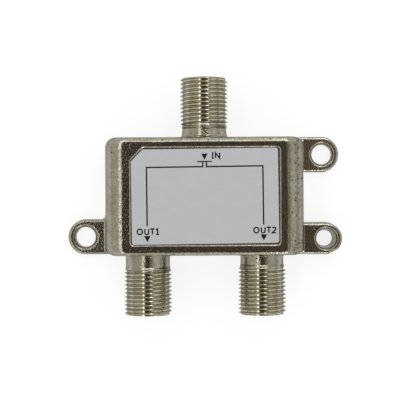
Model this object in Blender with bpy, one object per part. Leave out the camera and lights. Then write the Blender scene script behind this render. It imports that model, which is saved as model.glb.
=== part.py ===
"""Two-way coaxial splitter: a nickel-plated die-cast housing with three threaded ports and three ears.

The splitter lies on its back. +Z points out of the labelled front, +Y along the input port and +X
to the right of the label. The origin is the middle of the back plane. Lengths are in metres.
"""

import math
from dataclasses import dataclass

import bmesh
import bpy
from mathutils import Matrix, Vector

MM = 0.001

# Housing box, measured at the back plane, with its drafted walls
BODY_WIDTH = 40.6 * MM
BODY_HEIGHT = 24.2 * MM
BODY_DEPTH = 15.0 * MM
SIDE_DRAFT = math.radians(5.0)
END_DRAFT = math.radians(2.6)
CORNER_RADIUS = 2.0 * MM
FRONT_CORNER_RADIUS = 0.6 * MM
SHOULDER_RADIUS = 3.2 * MM
LIP_RADIUS = 0.75 * MM
WALL = 1.4 * MM
FRONT_WALL = 1.6 * MM
CAVITY_CORNER_RADIUS = 1.2 * MM
CAVITY_CEILING_RADIUS = 1.4 * MM

# Recess in the front and the label in it
LABEL_SIDE_BORDER = 1.38 * MM
LABEL_END_BORDER = 1.26 * MM
RECESS_DEPTH = 0.3 * MM
RECESS_CHAMFER = 2.45 * MM
RECESS_CORNER_RADIUS = 0.6 * MM
LABEL_GAP = 0.28 * MM
LABEL_THICKNESS = 0.12 * MM
LABEL_GLUE = 0.03 * MM

# Pressed sheet that closes the back
COVER_LEDGE = 0.7 * MM
COVER_THICKNESS = 0.6 * MM
COVER_SETBACK = 0.3 * MM
COVER_CLEARANCE = 0.08 * MM
COVER_EMBOSS = 0.3 * MM
COVER_EMBOSS_BORDER = 2.6 * MM
COVER_EMBOSS_SLOPE = 0.6 * MM
COVER_EDGE_RADIUS = 0.15 * MM
LEDGE_GAP = 0.03 * MM

# Threaded ports. The thread is 3/8 inch with 32 turns to the inch, and its turns are plain rings here
PORT_AXIS_HEIGHT = 7.5 * MM
OUTPUT_SPACING = 22.6 * MM
PORT_LENGTH = 11.6 * MM
PORT_NECK_DIAMETER = 8.7 * MM
PORT_NECK_LENGTH = 2.3 * MM
PORT_NECK_TAPER = 0.18 * MM
PORT_FLARE = 0.25 * MM
THREAD_DIAMETER = 9.4 * MM
THREAD_DEPTH = 0.47 * MM
THREAD_PITCH = 25.4 / 32 * MM
MOUTH_BORE_DIAMETER = 7.2 * MM
MOUTH_BORE_DEPTH = 3.5 * MM
MOUTH_CHAMFER = 0.15 * MM
INNER_BORE_DIAMETER = 6.2 * MM

# Plastic insulator in each port
INSULATOR_SETBACK = 0.5 * MM
INSULATOR_FIT = 0.04 * MM
INSULATOR_TAIL_SETBACK = 0.5 * MM
INSULATOR_EDGE = 0.2 * MM
ENTRY_DIAMETER = 1.6 * MM
ENTRY_CONE_DIAMETER = 3.0 * MM
ENTRY_LENGTH = 1.5 * MM

# Leaf-spring centre contact held in the insulator
CLIP_THICKNESS = 0.3 * MM
CLIP_HEIGHT = 1.6 * MM
CLIP_GAP = 0.6 * MM
CLIP_ROOT_GAP = 1.5 * MM
CLIP_MOUTH_GAP = 1.7 * MM
CLIP_FLARE_LENGTH = 1.8 * MM
CLIP_CLEARANCE = 0.1 * MM
TAIL_WIDTH = 0.9 * MM
TAIL_THICKNESS = 0.4 * MM
TAIL_REACH = 2.4 * MM

# Circuit board and the two cast posts that carry and ground it
BOARD_THICKNESS = 1.0 * MM
BOARD_EDGE_CLEARANCE = 0.5 * MM
BOARD_CORNER_RADIUS = 1.0 * MM
BOARD_TAIL_GAP = 0.05 * MM
POST_DIAMETER = 3.2 * MM
POST_FROM_BOARD_SIDE = 2.4 * MM
POST_FROM_BOARD_TOP = 5.3 * MM
STUD_DIAMETER = 1.5 * MM
STUD_CLEARANCE = 0.1 * MM
STUD_PROUD = 0.5 * MM
POST_SEAT_GAP = 0.03 * MM

# Solder, as domes and collars on the board
SOLDER_GAP = 0.03 * MM
SOLDER_WIDTH = 2.4 * MM
SOLDER_LENGTH = 2.2 * MM
SOLDER_HEIGHT = 0.8 * MM
SOLDER_DOME_ANGLE = math.radians(75.0)
COLLAR_DIAMETER = 2.8 * MM
COLLAR_HEIGHT = 0.4 * MM

# Two-hole ferrite cores with their windings
CORE_WIDTH = 5.8 * MM
CORE_HEIGHT = 3.2 * MM
CORE_LENGTH = 3.2 * MM
CORE_HOLE_DIAMETER = 1.5 * MM
CORE_HOLE_SPACING = 2.8 * MM
WIRE_DIAMETER = 0.28 * MM
WIRE_PITCH = 0.42 * MM
WIRE_BULGE = 0.55 * MM
WINDING_TURNS = 3
MATCHING_CORE_Y = 3.6 * MM
SPLITTING_CORE_Y = -2.2 * MM

# Chokes that pass the supply current round the transformers, spaced evenly with the diodes
CHOKE_Y = 0.8 * MM
CHOKE_CORE_DIAMETER = 1.9 * MM
CHOKE_CORE_LENGTH = 5.4 * MM
CHOKE_TURNS = 8
CHOKE_WIRE_DIAMETER = 0.32 * MM
CHOKE_PITCH = 0.5 * MM
CHOKE_WIRE_GAP = 0.05 * MM
CHOKE_TURN_STEPS = 8

# Axial diodes beside the chokes
DIODE_Y = 0.8 * MM
DIODE_DIAMETER = 1.8 * MM
DIODE_LENGTH = 3.4 * MM
DIODE_LEAD_DIAMETER = 0.5 * MM
DIODE_LEAD_REACH = 1.1 * MM

# Chip resistor between the outputs and chip capacitors at the ports
CHIP_CAP_SHARE = 0.22
CHIP_CAP_STEP = 0.05 * MM
RESISTOR_LENGTH = 3.2 * MM
RESISTOR_WIDTH = 1.6 * MM
RESISTOR_HEIGHT = 0.6 * MM
CAPACITOR_LENGTH = 2.0 * MM
CAPACITOR_WIDTH = 1.25 * MM
CAPACITOR_HEIGHT = 0.9 * MM
CHIP_ROW_INSET = 2.3 * MM
OUTPUT_CAPACITOR_X = 5.2 * MM
INPUT_CAPACITOR_X = 4.4 * MM
COMPONENT_GAP = 0.05 * MM

# Ears: one plain ear low on the left, one high on the right, and a thick earthing ear low on the right
EAR_EDGE_RADIUS = 0.5 * MM
EAR_DRAFT = math.radians(2.0)
EAR_HOLE_DIAMETER = 4.0 * MM
EAR_HOLE_CHAMFER = 0.55 * MM
EAR_ROOT_DEPTH = 3.0 * MM
EARTH_HOLE_BACK_DIAMETER = 3.2 * MM
EARTH_FLAT_DISTANCE = 3.12 * MM
EARTH_FLAT_ANGLE = math.radians(-62.0)

# Facets of round shapes
PORT_SEGMENTS = 24
HOLE_SEGMENTS = 28
SMALL_SEGMENTS = 16
CORNER_STEPS = 5
EDGE_STEPS = 6
CUT_OVERRUN = 2.0 * MM
LEAST_LEVEL_GAP = 0.06 * MM


@dataclass(frozen=True)
class Ear:
    """One mounting ear: its place beside the housing and its form.

    The radius is half its width and the tip is how far its round end goes beyond the middle of its hole.
    """

    name: str
    side: int
    y: float
    reach: float
    radius: float
    tip: float
    thickness: float
    flare_up: float
    flare_down: float
    hole_back: float
    flat: bool


EARS = (
    Ear("left_ear", -1, -8.1 * MM, 3.9 * MM, 3.6 * MM, 3.55 * MM, 2.0 * MM, 0.8 * MM, 0.0,
        EAR_HOLE_DIAMETER, False),
    Ear("right_ear", 1, 8.4 * MM, 3.55 * MM, 3.6 * MM, 3.45 * MM, 2.0 * MM, 0.0, 0.0,
        EAR_HOLE_DIAMETER, False),
    Ear("earth_ear", 1, -8.6 * MM, 4.1 * MM, 3.3 * MM, 3.35 * MM, 5.0 * MM, 0.0, 0.0,
        EARTH_HOLE_BACK_DIAMETER, True),
)


@dataclass(frozen=True)
class Port:
    """One threaded port, as its name, its place along X and the way that it points along Y."""

    name: str
    x: float
    way: int


PORTS = (
    Port("in", 0.0, 1),
    Port("out1", -OUTPUT_SPACING / 2, -1),
    Port("out2", OUTPUT_SPACING / 2, -1),
)


def clear_scene():
    """Removes every object of the startup scene."""
    for obj in list(bpy.data.objects):
        bpy.data.objects.remove(obj, do_unlink=True)


def material(name, colour, roughness, metallic=0.0):
    """A Principled material of one colour, made once for each name."""
    found = bpy.data.materials.get(name)
    if found:
        return found
    made = bpy.data.materials.new(name)
    made.use_nodes = True
    shader = made.node_tree.nodes["Principled BSDF"]
    shader.inputs["Base Color"].default_value = (*colour, 1.0)
    shader.inputs["Roughness"].default_value = roughness
    shader.inputs["Metallic"].default_value = metallic
    made.diffuse_color = (*colour, 1.0)
    return made


def nickel():
    return material("nickel_plate", (0.60, 0.57, 0.49), 0.28, 1.0)


def tinned_steel():
    return material("tinned_steel", (0.62, 0.61, 0.57), 0.35, 1.0)


def spring_bronze():
    return material("spring_bronze", (0.72, 0.50, 0.26), 0.3, 1.0)


def solder_metal():
    return material("solder", (0.66, 0.66, 0.65), 0.3, 1.0)


def copper_enamel():
    return material("enamelled_copper", (0.55, 0.16, 0.06), 0.3, 0.6)


def ferrite():
    return material("ferrite", (0.05, 0.05, 0.055), 0.7)


def add_object(name, mesh, finish, parent=None, location=(0, 0, 0), rotation=(0, 0, 0)):
    """Links a mesh as a named object, placed in its parent's frame."""
    obj = bpy.data.objects.new(name, mesh)
    bpy.context.scene.collection.objects.link(obj)
    obj.parent = parent
    obj.location = location
    obj.rotation_euler = rotation
    if finish:
        mesh.materials.append(finish)
    return obj


def mesh_from(bm, name, smooth_angle=math.radians(30)):
    """Turns a bmesh into a mesh with outward faces, shaded smooth below the given angle."""
    bmesh.ops.recalc_face_normals(bm, faces=bm.faces)
    mesh = bpy.data.meshes.new(name)
    bm.to_mesh(mesh)
    bm.free()
    mesh.shade_smooth()
    mesh.set_sharp_from_angle(angle=smooth_angle)
    return mesh


def as_cutter(obj):
    """Marks an object as a tool of a Boolean, which isn't a piece of the splitter."""
    obj.hide_render = True
    obj.display_type = "WIRE"
    return obj


def boolean(obj, tool, operation):
    """Joins the tool to obj, or cuts it out of obj, with the exact solver."""
    modifier = obj.modifiers.new(f"{operation.lower()}_{tool.name}", "BOOLEAN")
    modifier.operation = operation
    modifier.solver = "EXACT"
    modifier.object = as_cutter(tool)


def ring(points, z):
    """A flat loop of plan points at height z."""
    return [Vector((x, y, z)) for x, y in points]


def stack(loops):
    """A closed bmesh through loops that have the same number of points, with a flat face at each end."""
    bm = bmesh.new()
    rows = [[bm.verts.new(point) for point in loop] for loop in loops]
    for lower, upper in zip(rows, rows[1:]):
        for i in range(len(lower)):
            j = (i + 1) % len(lower)
            bm.faces.new((lower[i], lower[j], upper[j], upper[i]))
    bm.faces.new(rows[0])
    bm.faces.new(rows[-1])
    return bm


def revolve(profile, segments):
    """A solid of revolution about Z. The profile is radius and height pairs, from the axis to the axis."""
    bm = bmesh.new()
    points = [bm.verts.new((radius, 0.0, height)) for radius, height in profile]
    edges = [bm.edges.new(pair) for pair in zip(points, points[1:])]
    bmesh.ops.spin(bm, geom=points + edges, cent=(0, 0, 0), axis=(0, 0, 1), angle=math.tau, steps=segments)
    bmesh.ops.remove_doubles(bm, verts=bm.verts, dist=1e-7)
    return bm


def revolve_ring(profile, segments):
    """A ring of revolution about Z from a closed profile that stays clear of the axis."""
    bm = bmesh.new()
    points = [bm.verts.new((radius, 0.0, height)) for radius, height in profile]
    edges = [bm.edges.new(pair) for pair in zip(points, points[1:] + points[:1])]
    bmesh.ops.spin(bm, geom=points + edges, cent=(0, 0, 0), axis=(0, 0, 1), angle=math.tau, steps=segments)
    bmesh.ops.remove_doubles(bm, verts=bm.verts, dist=1e-7)
    return bm


def box(width, length, low, high):
    """A plain box centred on the Z axis, from height low to height high."""
    corners = [(width / 2, length / 2), (-width / 2, length / 2),
               (-width / 2, -length / 2), (width / 2, -length / 2)]
    return stack([ring(corners, low), ring(corners, high)])


def arc(centre, radius, start, end, steps):
    """Plan points along an arc, both ends included."""
    angles = [start + (end - start) * i / steps for i in range(steps + 1)]
    return [(centre[0] + radius * math.cos(a), centre[1] + radius * math.sin(a)) for a in angles]


def rounded_rectangle(half_width, half_height, radius):
    """Plan points of a rectangle with round corners, anticlockwise."""
    x = half_width - radius
    y = half_height - radius
    quarter = math.pi / 2
    corners = ((x, y, 0), (-x, y, 1), (-x, -y, 2), (x, -y, 3))
    return [point for cx, cy, turn in corners
            for point in arc((cx, cy), radius, turn * quarter, (turn + 1) * quarter, CORNER_STEPS)]


def keyed_rectangle(half_width, half_height, chamfer, radius):
    """A rounded rectangle whose upper left corner is cut off at 45 degrees."""
    quarter = math.pi / 2
    x = half_width - radius
    y = half_height - radius
    outline = arc((x, y), radius, 0, quarter, CORNER_STEPS)
    outline += [(-half_width + chamfer, half_height), (-half_width, half_height - chamfer)]
    outline += arc((-x, -y), radius, 2 * quarter, 3 * quarter, CORNER_STEPS)
    outline += arc((x, -y), radius, 3 * quarter, 4 * quarter, CORNER_STEPS)
    return outline


def rounding(height, top, radius):
    """How far a round edge of that radius below the height top has come in at this height."""
    rise = height - (top - radius)
    if rise <= 0:
        return 0.0
    return radius - math.sqrt(max(radius * radius - rise * rise, 0.0))


def body_section(z):
    """Half width, half height and corner radius of the housing's outside at height z."""
    lip = rounding(z, BODY_DEPTH, LIP_RADIUS)
    half_width = BODY_WIDTH / 2 - z * math.tan(SIDE_DRAFT) - rounding(z, BODY_DEPTH, SHOULDER_RADIUS)
    half_height = BODY_HEIGHT / 2 - z * math.tan(END_DRAFT) - lip
    radius = CORNER_RADIUS + (FRONT_CORNER_RADIUS - CORNER_RADIUS) * lip / LIP_RADIUS
    return half_width, half_height, radius


def cavity_section(z):
    """Half width, half height and corner radius of the hollow at height z: the outside less the wall."""
    ceiling = BODY_DEPTH - FRONT_WALL
    inset = WALL + rounding(z, ceiling, CAVITY_CEILING_RADIUS)
    half_width = BODY_WIDTH / 2 - z * math.tan(SIDE_DRAFT) - inset
    half_height = BODY_HEIGHT / 2 - z * math.tan(END_DRAFT) - inset
    return half_width, half_height, CAVITY_CORNER_RADIUS


def edge_levels(top, radius):
    """Heights that divide a round edge evenly by angle, up to the height top."""
    angles = [math.pi / 2 * i / EDGE_STEPS for i in range(EDGE_STEPS + 1)]
    return [top - radius + radius * math.sin(a) for a in angles]


def merged_levels(*groups):
    """The heights of several groups in order, leaving out those that nearly repeat the one below."""
    kept = []
    for z in sorted(z for group in groups for z in group):
        if not kept or z - kept[-1] > LEAST_LEVEL_GAP:
            kept.append(z)
    kept[-1] = max(z for group in groups for z in group)
    return kept


def wall_outside(z):
    """Distance of the housing's upper and lower walls from the middle at height z."""
    return BODY_HEIGHT / 2 - z * math.tan(END_DRAFT)


def port_mouth():
    """Distance of a port's mouth from the middle of the housing."""
    return wall_outside(PORT_AXIS_HEIGHT) + PORT_LENGTH


def recess_floor():
    return BODY_DEPTH - RECESS_DEPTH


def recess_halves():
    """Half width and half height of the label's recess, from the flat of the front."""
    half_width, half_height, _ = body_section(BODY_DEPTH)
    return half_width - LABEL_SIDE_BORDER, half_height - LABEL_END_BORDER


def ledge_height():
    """Height of the ledge that the back cover rests on."""
    return COVER_SETBACK + COVER_THICKNESS + LEDGE_GAP


def board_low():
    """Height of the board's component side, which faces the back cover."""
    return PORT_AXIS_HEIGHT + TAIL_THICKNESS / 2 + TAIL_THICKNESS / 2 + BOARD_TAIL_GAP


def board_high():
    return board_low() + BOARD_THICKNESS


def ear_outline(ear, inset):
    """Plan points of an ear, drawn as if on the right, inset all round but at its root."""
    wall_x = BODY_WIDTH / 2
    centre_x = wall_x + ear.reach
    radius = ear.radius - inset
    stretch = (ear.tip - inset) / radius
    flare_up = max(ear.flare_up, 1e-5)
    flare_down = max(ear.flare_down, 1e-5)
    quarter = math.pi / 2
    tip = [(centre_x + (x - centre_x) * stretch, y)
           for x, y in arc((centre_x, ear.y), radius, -quarter, quarter, 16)]
    if ear.flat:
        tip = [flattened(point, (centre_x, ear.y), inset) for point in tip]
    lower = arc((wall_x + flare_down, ear.y - radius - flare_down), flare_down, 2 * quarter, quarter, 4)
    upper = arc((wall_x + flare_up, ear.y + radius + flare_up), flare_up, -quarter, -2 * quarter, 4)
    root_x = wall_x - EAR_ROOT_DEPTH
    return [(root_x, lower[0][1]), *lower, *tip, *upper, (root_x, upper[-1][1])]


def flattened(point, centre, inset):
    """Moves a point beyond the trimmed flat of the earthing ear back onto it."""
    way = Vector((math.cos(EARTH_FLAT_ANGLE), math.sin(EARTH_FLAT_ANGLE)))
    beyond = (Vector(point) - Vector(centre)).dot(way) - (EARTH_FLAT_DISTANCE - inset)
    moved = Vector(point) - way * max(beyond, 0.0)
    return (moved.x, moved.y)


def ear_blank(ear):
    """An ear with drafted sides and a round front edge, reaching into the housing's wall."""
    levels = merged_levels([0.0], edge_levels(ear.thickness, EAR_EDGE_RADIUS))
    loops = []
    for z in levels:
        inset = z * math.tan(EAR_DRAFT) + rounding(z, ear.thickness, EAR_EDGE_RADIUS)
        outline = ear_outline(ear, inset)
        loops.append(ring([(x * ear.side, y) for x, y in outline], z))
    return add_object(ear.name, mesh_from(stack(loops), ear.name), None)


def ear_hole_cutter(ear):
    """The hole through an ear, with the chamfer at its front. The earthing hole narrows to the back."""
    front = EAR_HOLE_DIAMETER / 2
    back = ear.hole_back / 2
    wide = front + EAR_HOLE_CHAMFER
    chamfer_low = ear.thickness - EAR_HOLE_CHAMFER
    profile = [(0.0, -CUT_OVERRUN), (back, -CUT_OVERRUN), (back, 0.0), (front, chamfer_low),
               (wide, ear.thickness), (wide, ear.thickness + CUT_OVERRUN),
               (0.0, ear.thickness + CUT_OVERRUN)]
    if ear.hole_back == EAR_HOLE_DIAMETER:
        profile.pop(2)
    place = (ear.side * (BODY_WIDTH / 2 + ear.reach), ear.y, 0.0)
    name = f"{ear.name}_hole"
    return add_object(name, mesh_from(revolve(profile, HOLE_SEGMENTS), name), None, location=place)


def port_frame(port):
    """An empty on a port's axis, whose own Z runs out of the port from the middle of the housing."""
    frame = bpy.data.objects.new(f"{port.name}_port_frame", None)
    bpy.context.scene.collection.objects.link(frame)
    frame.location = (port.x, 0.0, PORT_AXIS_HEIGHT)
    frame.rotation_euler = (-math.pi / 2, 0.0, 0.0 if port.way > 0 else math.pi)
    return frame


def thread_rings(start, mouth):
    """Profile of the thread from its first flank to the mouth: a crest and a root for each turn.

    The last turn's root is the port's rim, and the first turn's flank rises from the neck.
    """
    neck = PORT_NECK_DIAMETER / 2
    crest = THREAD_DIAMETER / 2
    root = crest - THREAD_DEPTH
    turns = round((mouth - start) / THREAD_PITCH)
    first = mouth - (turns - 0.5) * THREAD_PITCH
    profile = [(neck, first - (crest - neck) / THREAD_DEPTH * THREAD_PITCH / 2)]
    for turn in range(turns):
        middle = first + turn * THREAD_PITCH
        profile += [(crest, middle), (root, middle + THREAD_PITCH / 2)]
    return profile


def port_blank(port, frame):
    """The solid outside of a port: base flare, tapered neck and the rings of its thread."""
    wall = wall_outside(PORT_AXIS_HEIGHT)
    foot = PORT_NECK_DIAMETER / 2 + PORT_NECK_TAPER
    mouth = port_mouth()
    flare = arc((foot + PORT_FLARE, wall + PORT_FLARE), PORT_FLARE, -math.pi / 2, -math.pi, 3)
    profile = [(0.0, wall - WALL / 2), (foot + PORT_FLARE, wall - WALL / 2), *flare,
               *thread_rings(wall + PORT_NECK_LENGTH, mouth), (0.0, mouth)]
    name = f"{port.name}_port"
    return add_object(name, mesh_from(revolve(profile, PORT_SEGMENTS), name), None, frame)


def port_bore_cutter(port, frame):
    """The stepped bore of a port, from inside the housing to its mouth."""
    mouth = port_mouth()
    inner = INNER_BORE_DIAMETER / 2
    outer = MOUTH_BORE_DIAMETER / 2
    inside = wall_outside(PORT_AXIS_HEIGHT) - WALL - CUT_OVERRUN
    profile = [(0.0, inside), (inner, inside), (inner, mouth - MOUTH_BORE_DEPTH),
               (outer, mouth - MOUTH_BORE_DEPTH), (outer, mouth - MOUTH_CHAMFER),
               (outer + MOUTH_CHAMFER, mouth), (outer + MOUTH_CHAMFER, mouth + CUT_OVERRUN),
               (0.0, mouth + CUT_OVERRUN)]
    name = f"{port.name}_bore"
    return add_object(name, mesh_from(revolve(profile, PORT_SEGMENTS), name), None, frame)


def cavity_cutter():
    """The hollow of the housing, drafted like the outside and rounded at its ceiling."""
    ceiling = BODY_DEPTH - FRONT_WALL
    levels = merged_levels([0.0], edge_levels(ceiling, CAVITY_CEILING_RADIUS))
    loops = [ring(rounded_rectangle(*cavity_section(z)), z) for z in levels]
    loops.insert(0, ring(rounded_rectangle(*cavity_section(0.0)), -CUT_OVERRUN))
    return add_object("cavity", mesh_from(stack(loops), "cavity"), None)


def cover_seat_cutter():
    """The wider step at the back that the cover drops into."""
    half_width, half_height, radius = cavity_section(0.0)
    outline = rounded_rectangle(half_width + COVER_LEDGE, half_height + COVER_LEDGE, radius)
    loops = [ring(outline, -CUT_OVERRUN), ring(outline, ledge_height())]
    return add_object("cover_seat", mesh_from(stack(loops), "cover_seat"), None)


def recess_cutter():
    """The shallow recess of the label, with its cut-off corner."""
    outline = keyed_rectangle(*recess_halves(), RECESS_CHAMFER, RECESS_CORNER_RADIUS)
    loops = [ring(outline, recess_floor()), ring(outline, BODY_DEPTH + CUT_OVERRUN)]
    return add_object("label_recess", mesh_from(stack(loops), "label_recess"), None)


def post_blank(name, side):
    """A cast post from the front wall to the board, with the stud that passes through the board."""
    rooted = BODY_DEPTH - FRONT_WALL / 2
    shoulder = board_high() + POST_SEAT_GAP
    tip = board_low() - STUD_PROUD
    stud = STUD_DIAMETER / 2
    profile = [(0.0, tip), (stud, tip), (stud, shoulder), (POST_DIAMETER / 2, shoulder),
               (POST_DIAMETER / 2, rooted), (0.0, rooted)]
    return add_object(name, mesh_from(revolve(profile, SMALL_SEGMENTS), name), None,
                      location=(*post_place(side), 0.0))


def make_housing(frames):
    """The casting: drafted body, ears and ports in one, hollowed from the back and bored at the ports."""
    shoulder = edge_levels(BODY_DEPTH, SHOULDER_RADIUS)
    levels = merged_levels([0.0], shoulder, edge_levels(BODY_DEPTH, LIP_RADIUS))
    loops = [ring(rounded_rectangle(*body_section(z)), z) for z in levels]
    housing = add_object("housing", mesh_from(stack(loops), "housing"), nickel())
    for ear in EARS:
        boolean(housing, ear_blank(ear), "UNION")
    for port in PORTS:
        boolean(housing, port_blank(port, frames[port.name]), "UNION")
    boolean(housing, cavity_cutter(), "DIFFERENCE")
    boolean(housing, cover_seat_cutter(), "DIFFERENCE")
    boolean(housing, recess_cutter(), "DIFFERENCE")
    for port in PORTS:
        boolean(housing, port_bore_cutter(port, frames[port.name]), "DIFFERENCE")
    for ear in EARS:
        boolean(housing, ear_hole_cutter(ear), "DIFFERENCE")
    for side, name in ((-1, "left_post"), (1, "right_post")):
        boolean(housing, post_blank(name, side), "UNION")
    return housing


def make_back_cover():
    """The pressed sheet at the back: a rounded plate with a field embossed towards the inside."""
    half_width, half_height, radius = cavity_section(0.0)
    grown = COVER_LEDGE - COVER_CLEARANCE
    low = COVER_SETBACK
    high = COVER_SETBACK + COVER_THICKNESS
    edge = COVER_EDGE_RADIUS
    field = COVER_EMBOSS_BORDER
    floor = field + COVER_EMBOSS_SLOPE

    def loop(inset, z):
        return ring(rounded_rectangle(half_width + grown - inset, half_height + grown - inset, radius), z)

    loops = [loop(floor, low + COVER_EMBOSS), loop(field, low), loop(edge, low), loop(0.0, low + edge),
             loop(0.0, high - edge), loop(edge, high), loop(field, high), loop(floor, high + COVER_EMBOSS)]
    return add_object("back_cover", mesh_from(stack(loops), "back_cover"), tinned_steel())


def make_label():
    """The printed label, cut to the recess less a gap all round."""
    half_width, half_height = recess_halves()
    low = recess_floor() + LABEL_GLUE
    chamfer = RECESS_CHAMFER - LABEL_GAP * (2 - math.sqrt(2))
    outline = keyed_rectangle(half_width - LABEL_GAP, half_height - LABEL_GAP, chamfer, RECESS_CORNER_RADIUS)
    loops = [ring(outline, low), ring(outline, low + LABEL_THICKNESS)]
    paper = material("label_film", (0.47, 0.49, 0.52), 0.45)
    return add_object("front_label", mesh_from(stack(loops), "front_label"), paper)


def clip_pocket_end():
    """Distance of the insulator pocket's blind end from the middle of the housing."""
    return port_mouth() - INSULATOR_SETBACK - ENTRY_LENGTH


def insulator_tail():
    """Distance of the insulator's inner end from the middle of the housing."""
    return wall_outside(PORT_AXIS_HEIGHT) - WALL + INSULATOR_TAIL_SETBACK


def clip_widest():
    """Width over both leaves of the contact at its widest."""
    return max(CLIP_ROOT_GAP, CLIP_MOUTH_GAP) + 2 * CLIP_THICKNESS


def make_insulator(port, frame):
    """A stepped plastic plug with a funnel at its face and a pocket for the contact behind it."""
    face = port_mouth() - INSULATOR_SETBACK
    step = port_mouth() - MOUTH_BORE_DEPTH + INSULATOR_FIT
    tail = insulator_tail()
    wide = MOUTH_BORE_DIAMETER / 2 - INSULATOR_FIT
    narrow = INNER_BORE_DIAMETER / 2 - INSULATOR_FIT
    entry = ENTRY_DIAMETER / 2
    cone = ENTRY_CONE_DIAMETER / 2
    profile = [(0.0, tail), (narrow, tail), (narrow, step), (wide, step), (wide, face - INSULATOR_EDGE),
               (wide - INSULATOR_EDGE, face), (cone, face), (entry, face - (cone - entry)),
               (entry, clip_pocket_end() - CLIP_CLEARANCE), (0.0, clip_pocket_end() - CLIP_CLEARANCE)]
    name = f"{port.name}_insulator"
    plastic = material("insulator_plastic", (0.80, 0.78, 0.70), 0.5)
    insulator = add_object(name, mesh_from(revolve(profile, PORT_SEGMENTS), name), plastic, frame)
    pocket = box(clip_widest() + 2 * CLIP_CLEARANCE, CLIP_HEIGHT + 2 * CLIP_CLEARANCE,
                 tail - CUT_OVERRUN, clip_pocket_end())
    pocket_name = f"{port.name}_pocket"
    boolean(insulator, add_object(pocket_name, mesh_from(pocket, pocket_name), None, frame), "DIFFERENCE")
    return insulator


def make_contact(port, frame):
    """A folded leaf spring: two leaves that close on the wire and open at the mouth, with a flat tail."""
    tip = clip_pocket_end() - CLIP_CLEARANCE
    pinch = tip - CLIP_FLARE_LENGTH
    root = insulator_tail()
    stations = ((CLIP_ROOT_GAP / 2, root + CLIP_THICKNESS), (CLIP_GAP / 2, pinch - CLIP_THICKNESS),
                (CLIP_GAP / 2, pinch + CLIP_THICKNESS), (CLIP_MOUTH_GAP / 2, tip))
    inner = [(x, z) for x, z in stations]
    outer = [(x + CLIP_THICKNESS, z) for x, z in stations]
    outer[0] = (outer[0][0], root)
    right = outer + inner[::-1]
    left = [(-x, z) for x, z in reversed(right)]
    outline = right + left
    height = CLIP_HEIGHT / 2
    name = f"{port.name}_contact"
    loops = [[Vector((x, y, z)) for x, z in outline] for y in (-height, height)]
    contact = add_object(name, mesh_from(stack(loops), name), spring_bronze(), frame)
    tail_name = f"{port.name}_tail"
    tail = box(TAIL_WIDTH, TAIL_THICKNESS, insulator_tail() - TAIL_REACH, root + CLIP_THICKNESS / 2)
    bmesh.ops.translate(tail, verts=tail.verts, vec=(0.0, -tail_offset(), 0.0))
    boolean(contact, add_object(tail_name, mesh_from(tail, tail_name), None, frame), "UNION")
    return contact


def tail_offset():
    """How far the tail's middle lies above the port's axis, so that it lies against the board."""
    return TAIL_THICKNESS / 2


def post_place(side):
    """Plan position of a post, set in from the board's side and top."""
    half_width, half_height = board_halves()
    return side * (half_width - POST_FROM_BOARD_SIDE), half_height - POST_FROM_BOARD_TOP


def row_gap():
    """The gap that is left alike between the cores, a choke, a diode and a post's solder."""
    free = post_place(1)[0] - COLLAR_DIAMETER / 2 - CORE_WIDTH / 2 - choke_diameter() - DIODE_DIAMETER
    return free / 3


def choke_x():
    return CORE_WIDTH / 2 + row_gap() + choke_diameter() / 2


def diode_x():
    return choke_x() + choke_diameter() / 2 + row_gap() + DIODE_DIAMETER / 2


def board_halves():
    """Half width and half height of the board, which clears the hollow at the board's front face."""
    half_width, half_height, _ = cavity_section(board_high())
    return half_width - BOARD_EDGE_CLEARANCE, half_height - BOARD_EDGE_CLEARANCE


def make_board():
    """The circuit board, with a clearance hole for each cast stud."""
    outline = rounded_rectangle(*board_halves(), BOARD_CORNER_RADIUS)
    laminate = material("board_laminate", (0.42, 0.30, 0.12), 0.5)
    blank = stack([ring(outline, board_low()), ring(outline, board_high())])
    board = add_object("circuit_board", mesh_from(blank, "circuit_board"), laminate)
    hole = STUD_DIAMETER / 2 + STUD_CLEARANCE
    profile = [(0.0, board_low() - CUT_OVERRUN), (hole, board_low() - CUT_OVERRUN),
               (hole, board_high() + CUT_OVERRUN), (0.0, board_high() + CUT_OVERRUN)]
    for side, name in ((-1, "left_board_hole"), (1, "right_board_hole")):
        cutter = add_object(name, mesh_from(revolve(profile, SMALL_SEGMENTS), name), None,
                            location=(*post_place(side), 0.0))
        boolean(board, cutter, "DIFFERENCE")
    return board


def make_tail_solder(port):
    """A dome of solder over the end of a contact's tail, with the tail's own groove in it."""
    end = insulator_tail() - TAIL_REACH
    high = board_low() - SOLDER_GAP
    around = [math.tau * i / SMALL_SEGMENTS for i in range(SMALL_SEGMENTS)]
    loops = []
    for i in range(EDGE_STEPS + 1):
        rise = SOLDER_DOME_ANGLE * i / EDGE_STEPS
        half_width = SOLDER_WIDTH / 2 * math.cos(rise)
        half_length = SOLDER_LENGTH / 2 * math.cos(rise)
        z = high - SOLDER_HEIGHT * math.sin(rise) / math.sin(SOLDER_DOME_ANGLE)
        loops.append([Vector((half_width * math.cos(a), half_length * math.sin(a), z)) for a in around])
    name = f"{port.name}_solder"
    place = (port.x, port.way * end, 0.0)
    solder = add_object(name, mesh_from(stack(loops), name), solder_metal(), location=place)
    groove_name = f"{port.name}_solder_groove"
    groove = box(TAIL_WIDTH + 2 * SOLDER_GAP, SOLDER_LENGTH + 2 * SOLDER_GAP,
                 board_low() - BOARD_TAIL_GAP - TAIL_THICKNESS - SOLDER_GAP, high + CUT_OVERRUN)
    shift = port.way * (SOLDER_LENGTH / 2)
    cutter = add_object(groove_name, mesh_from(groove, groove_name), None,
                        location=(port.x, port.way * end + shift, 0.0))
    boolean(solder, cutter, "DIFFERENCE")
    return solder


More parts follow.
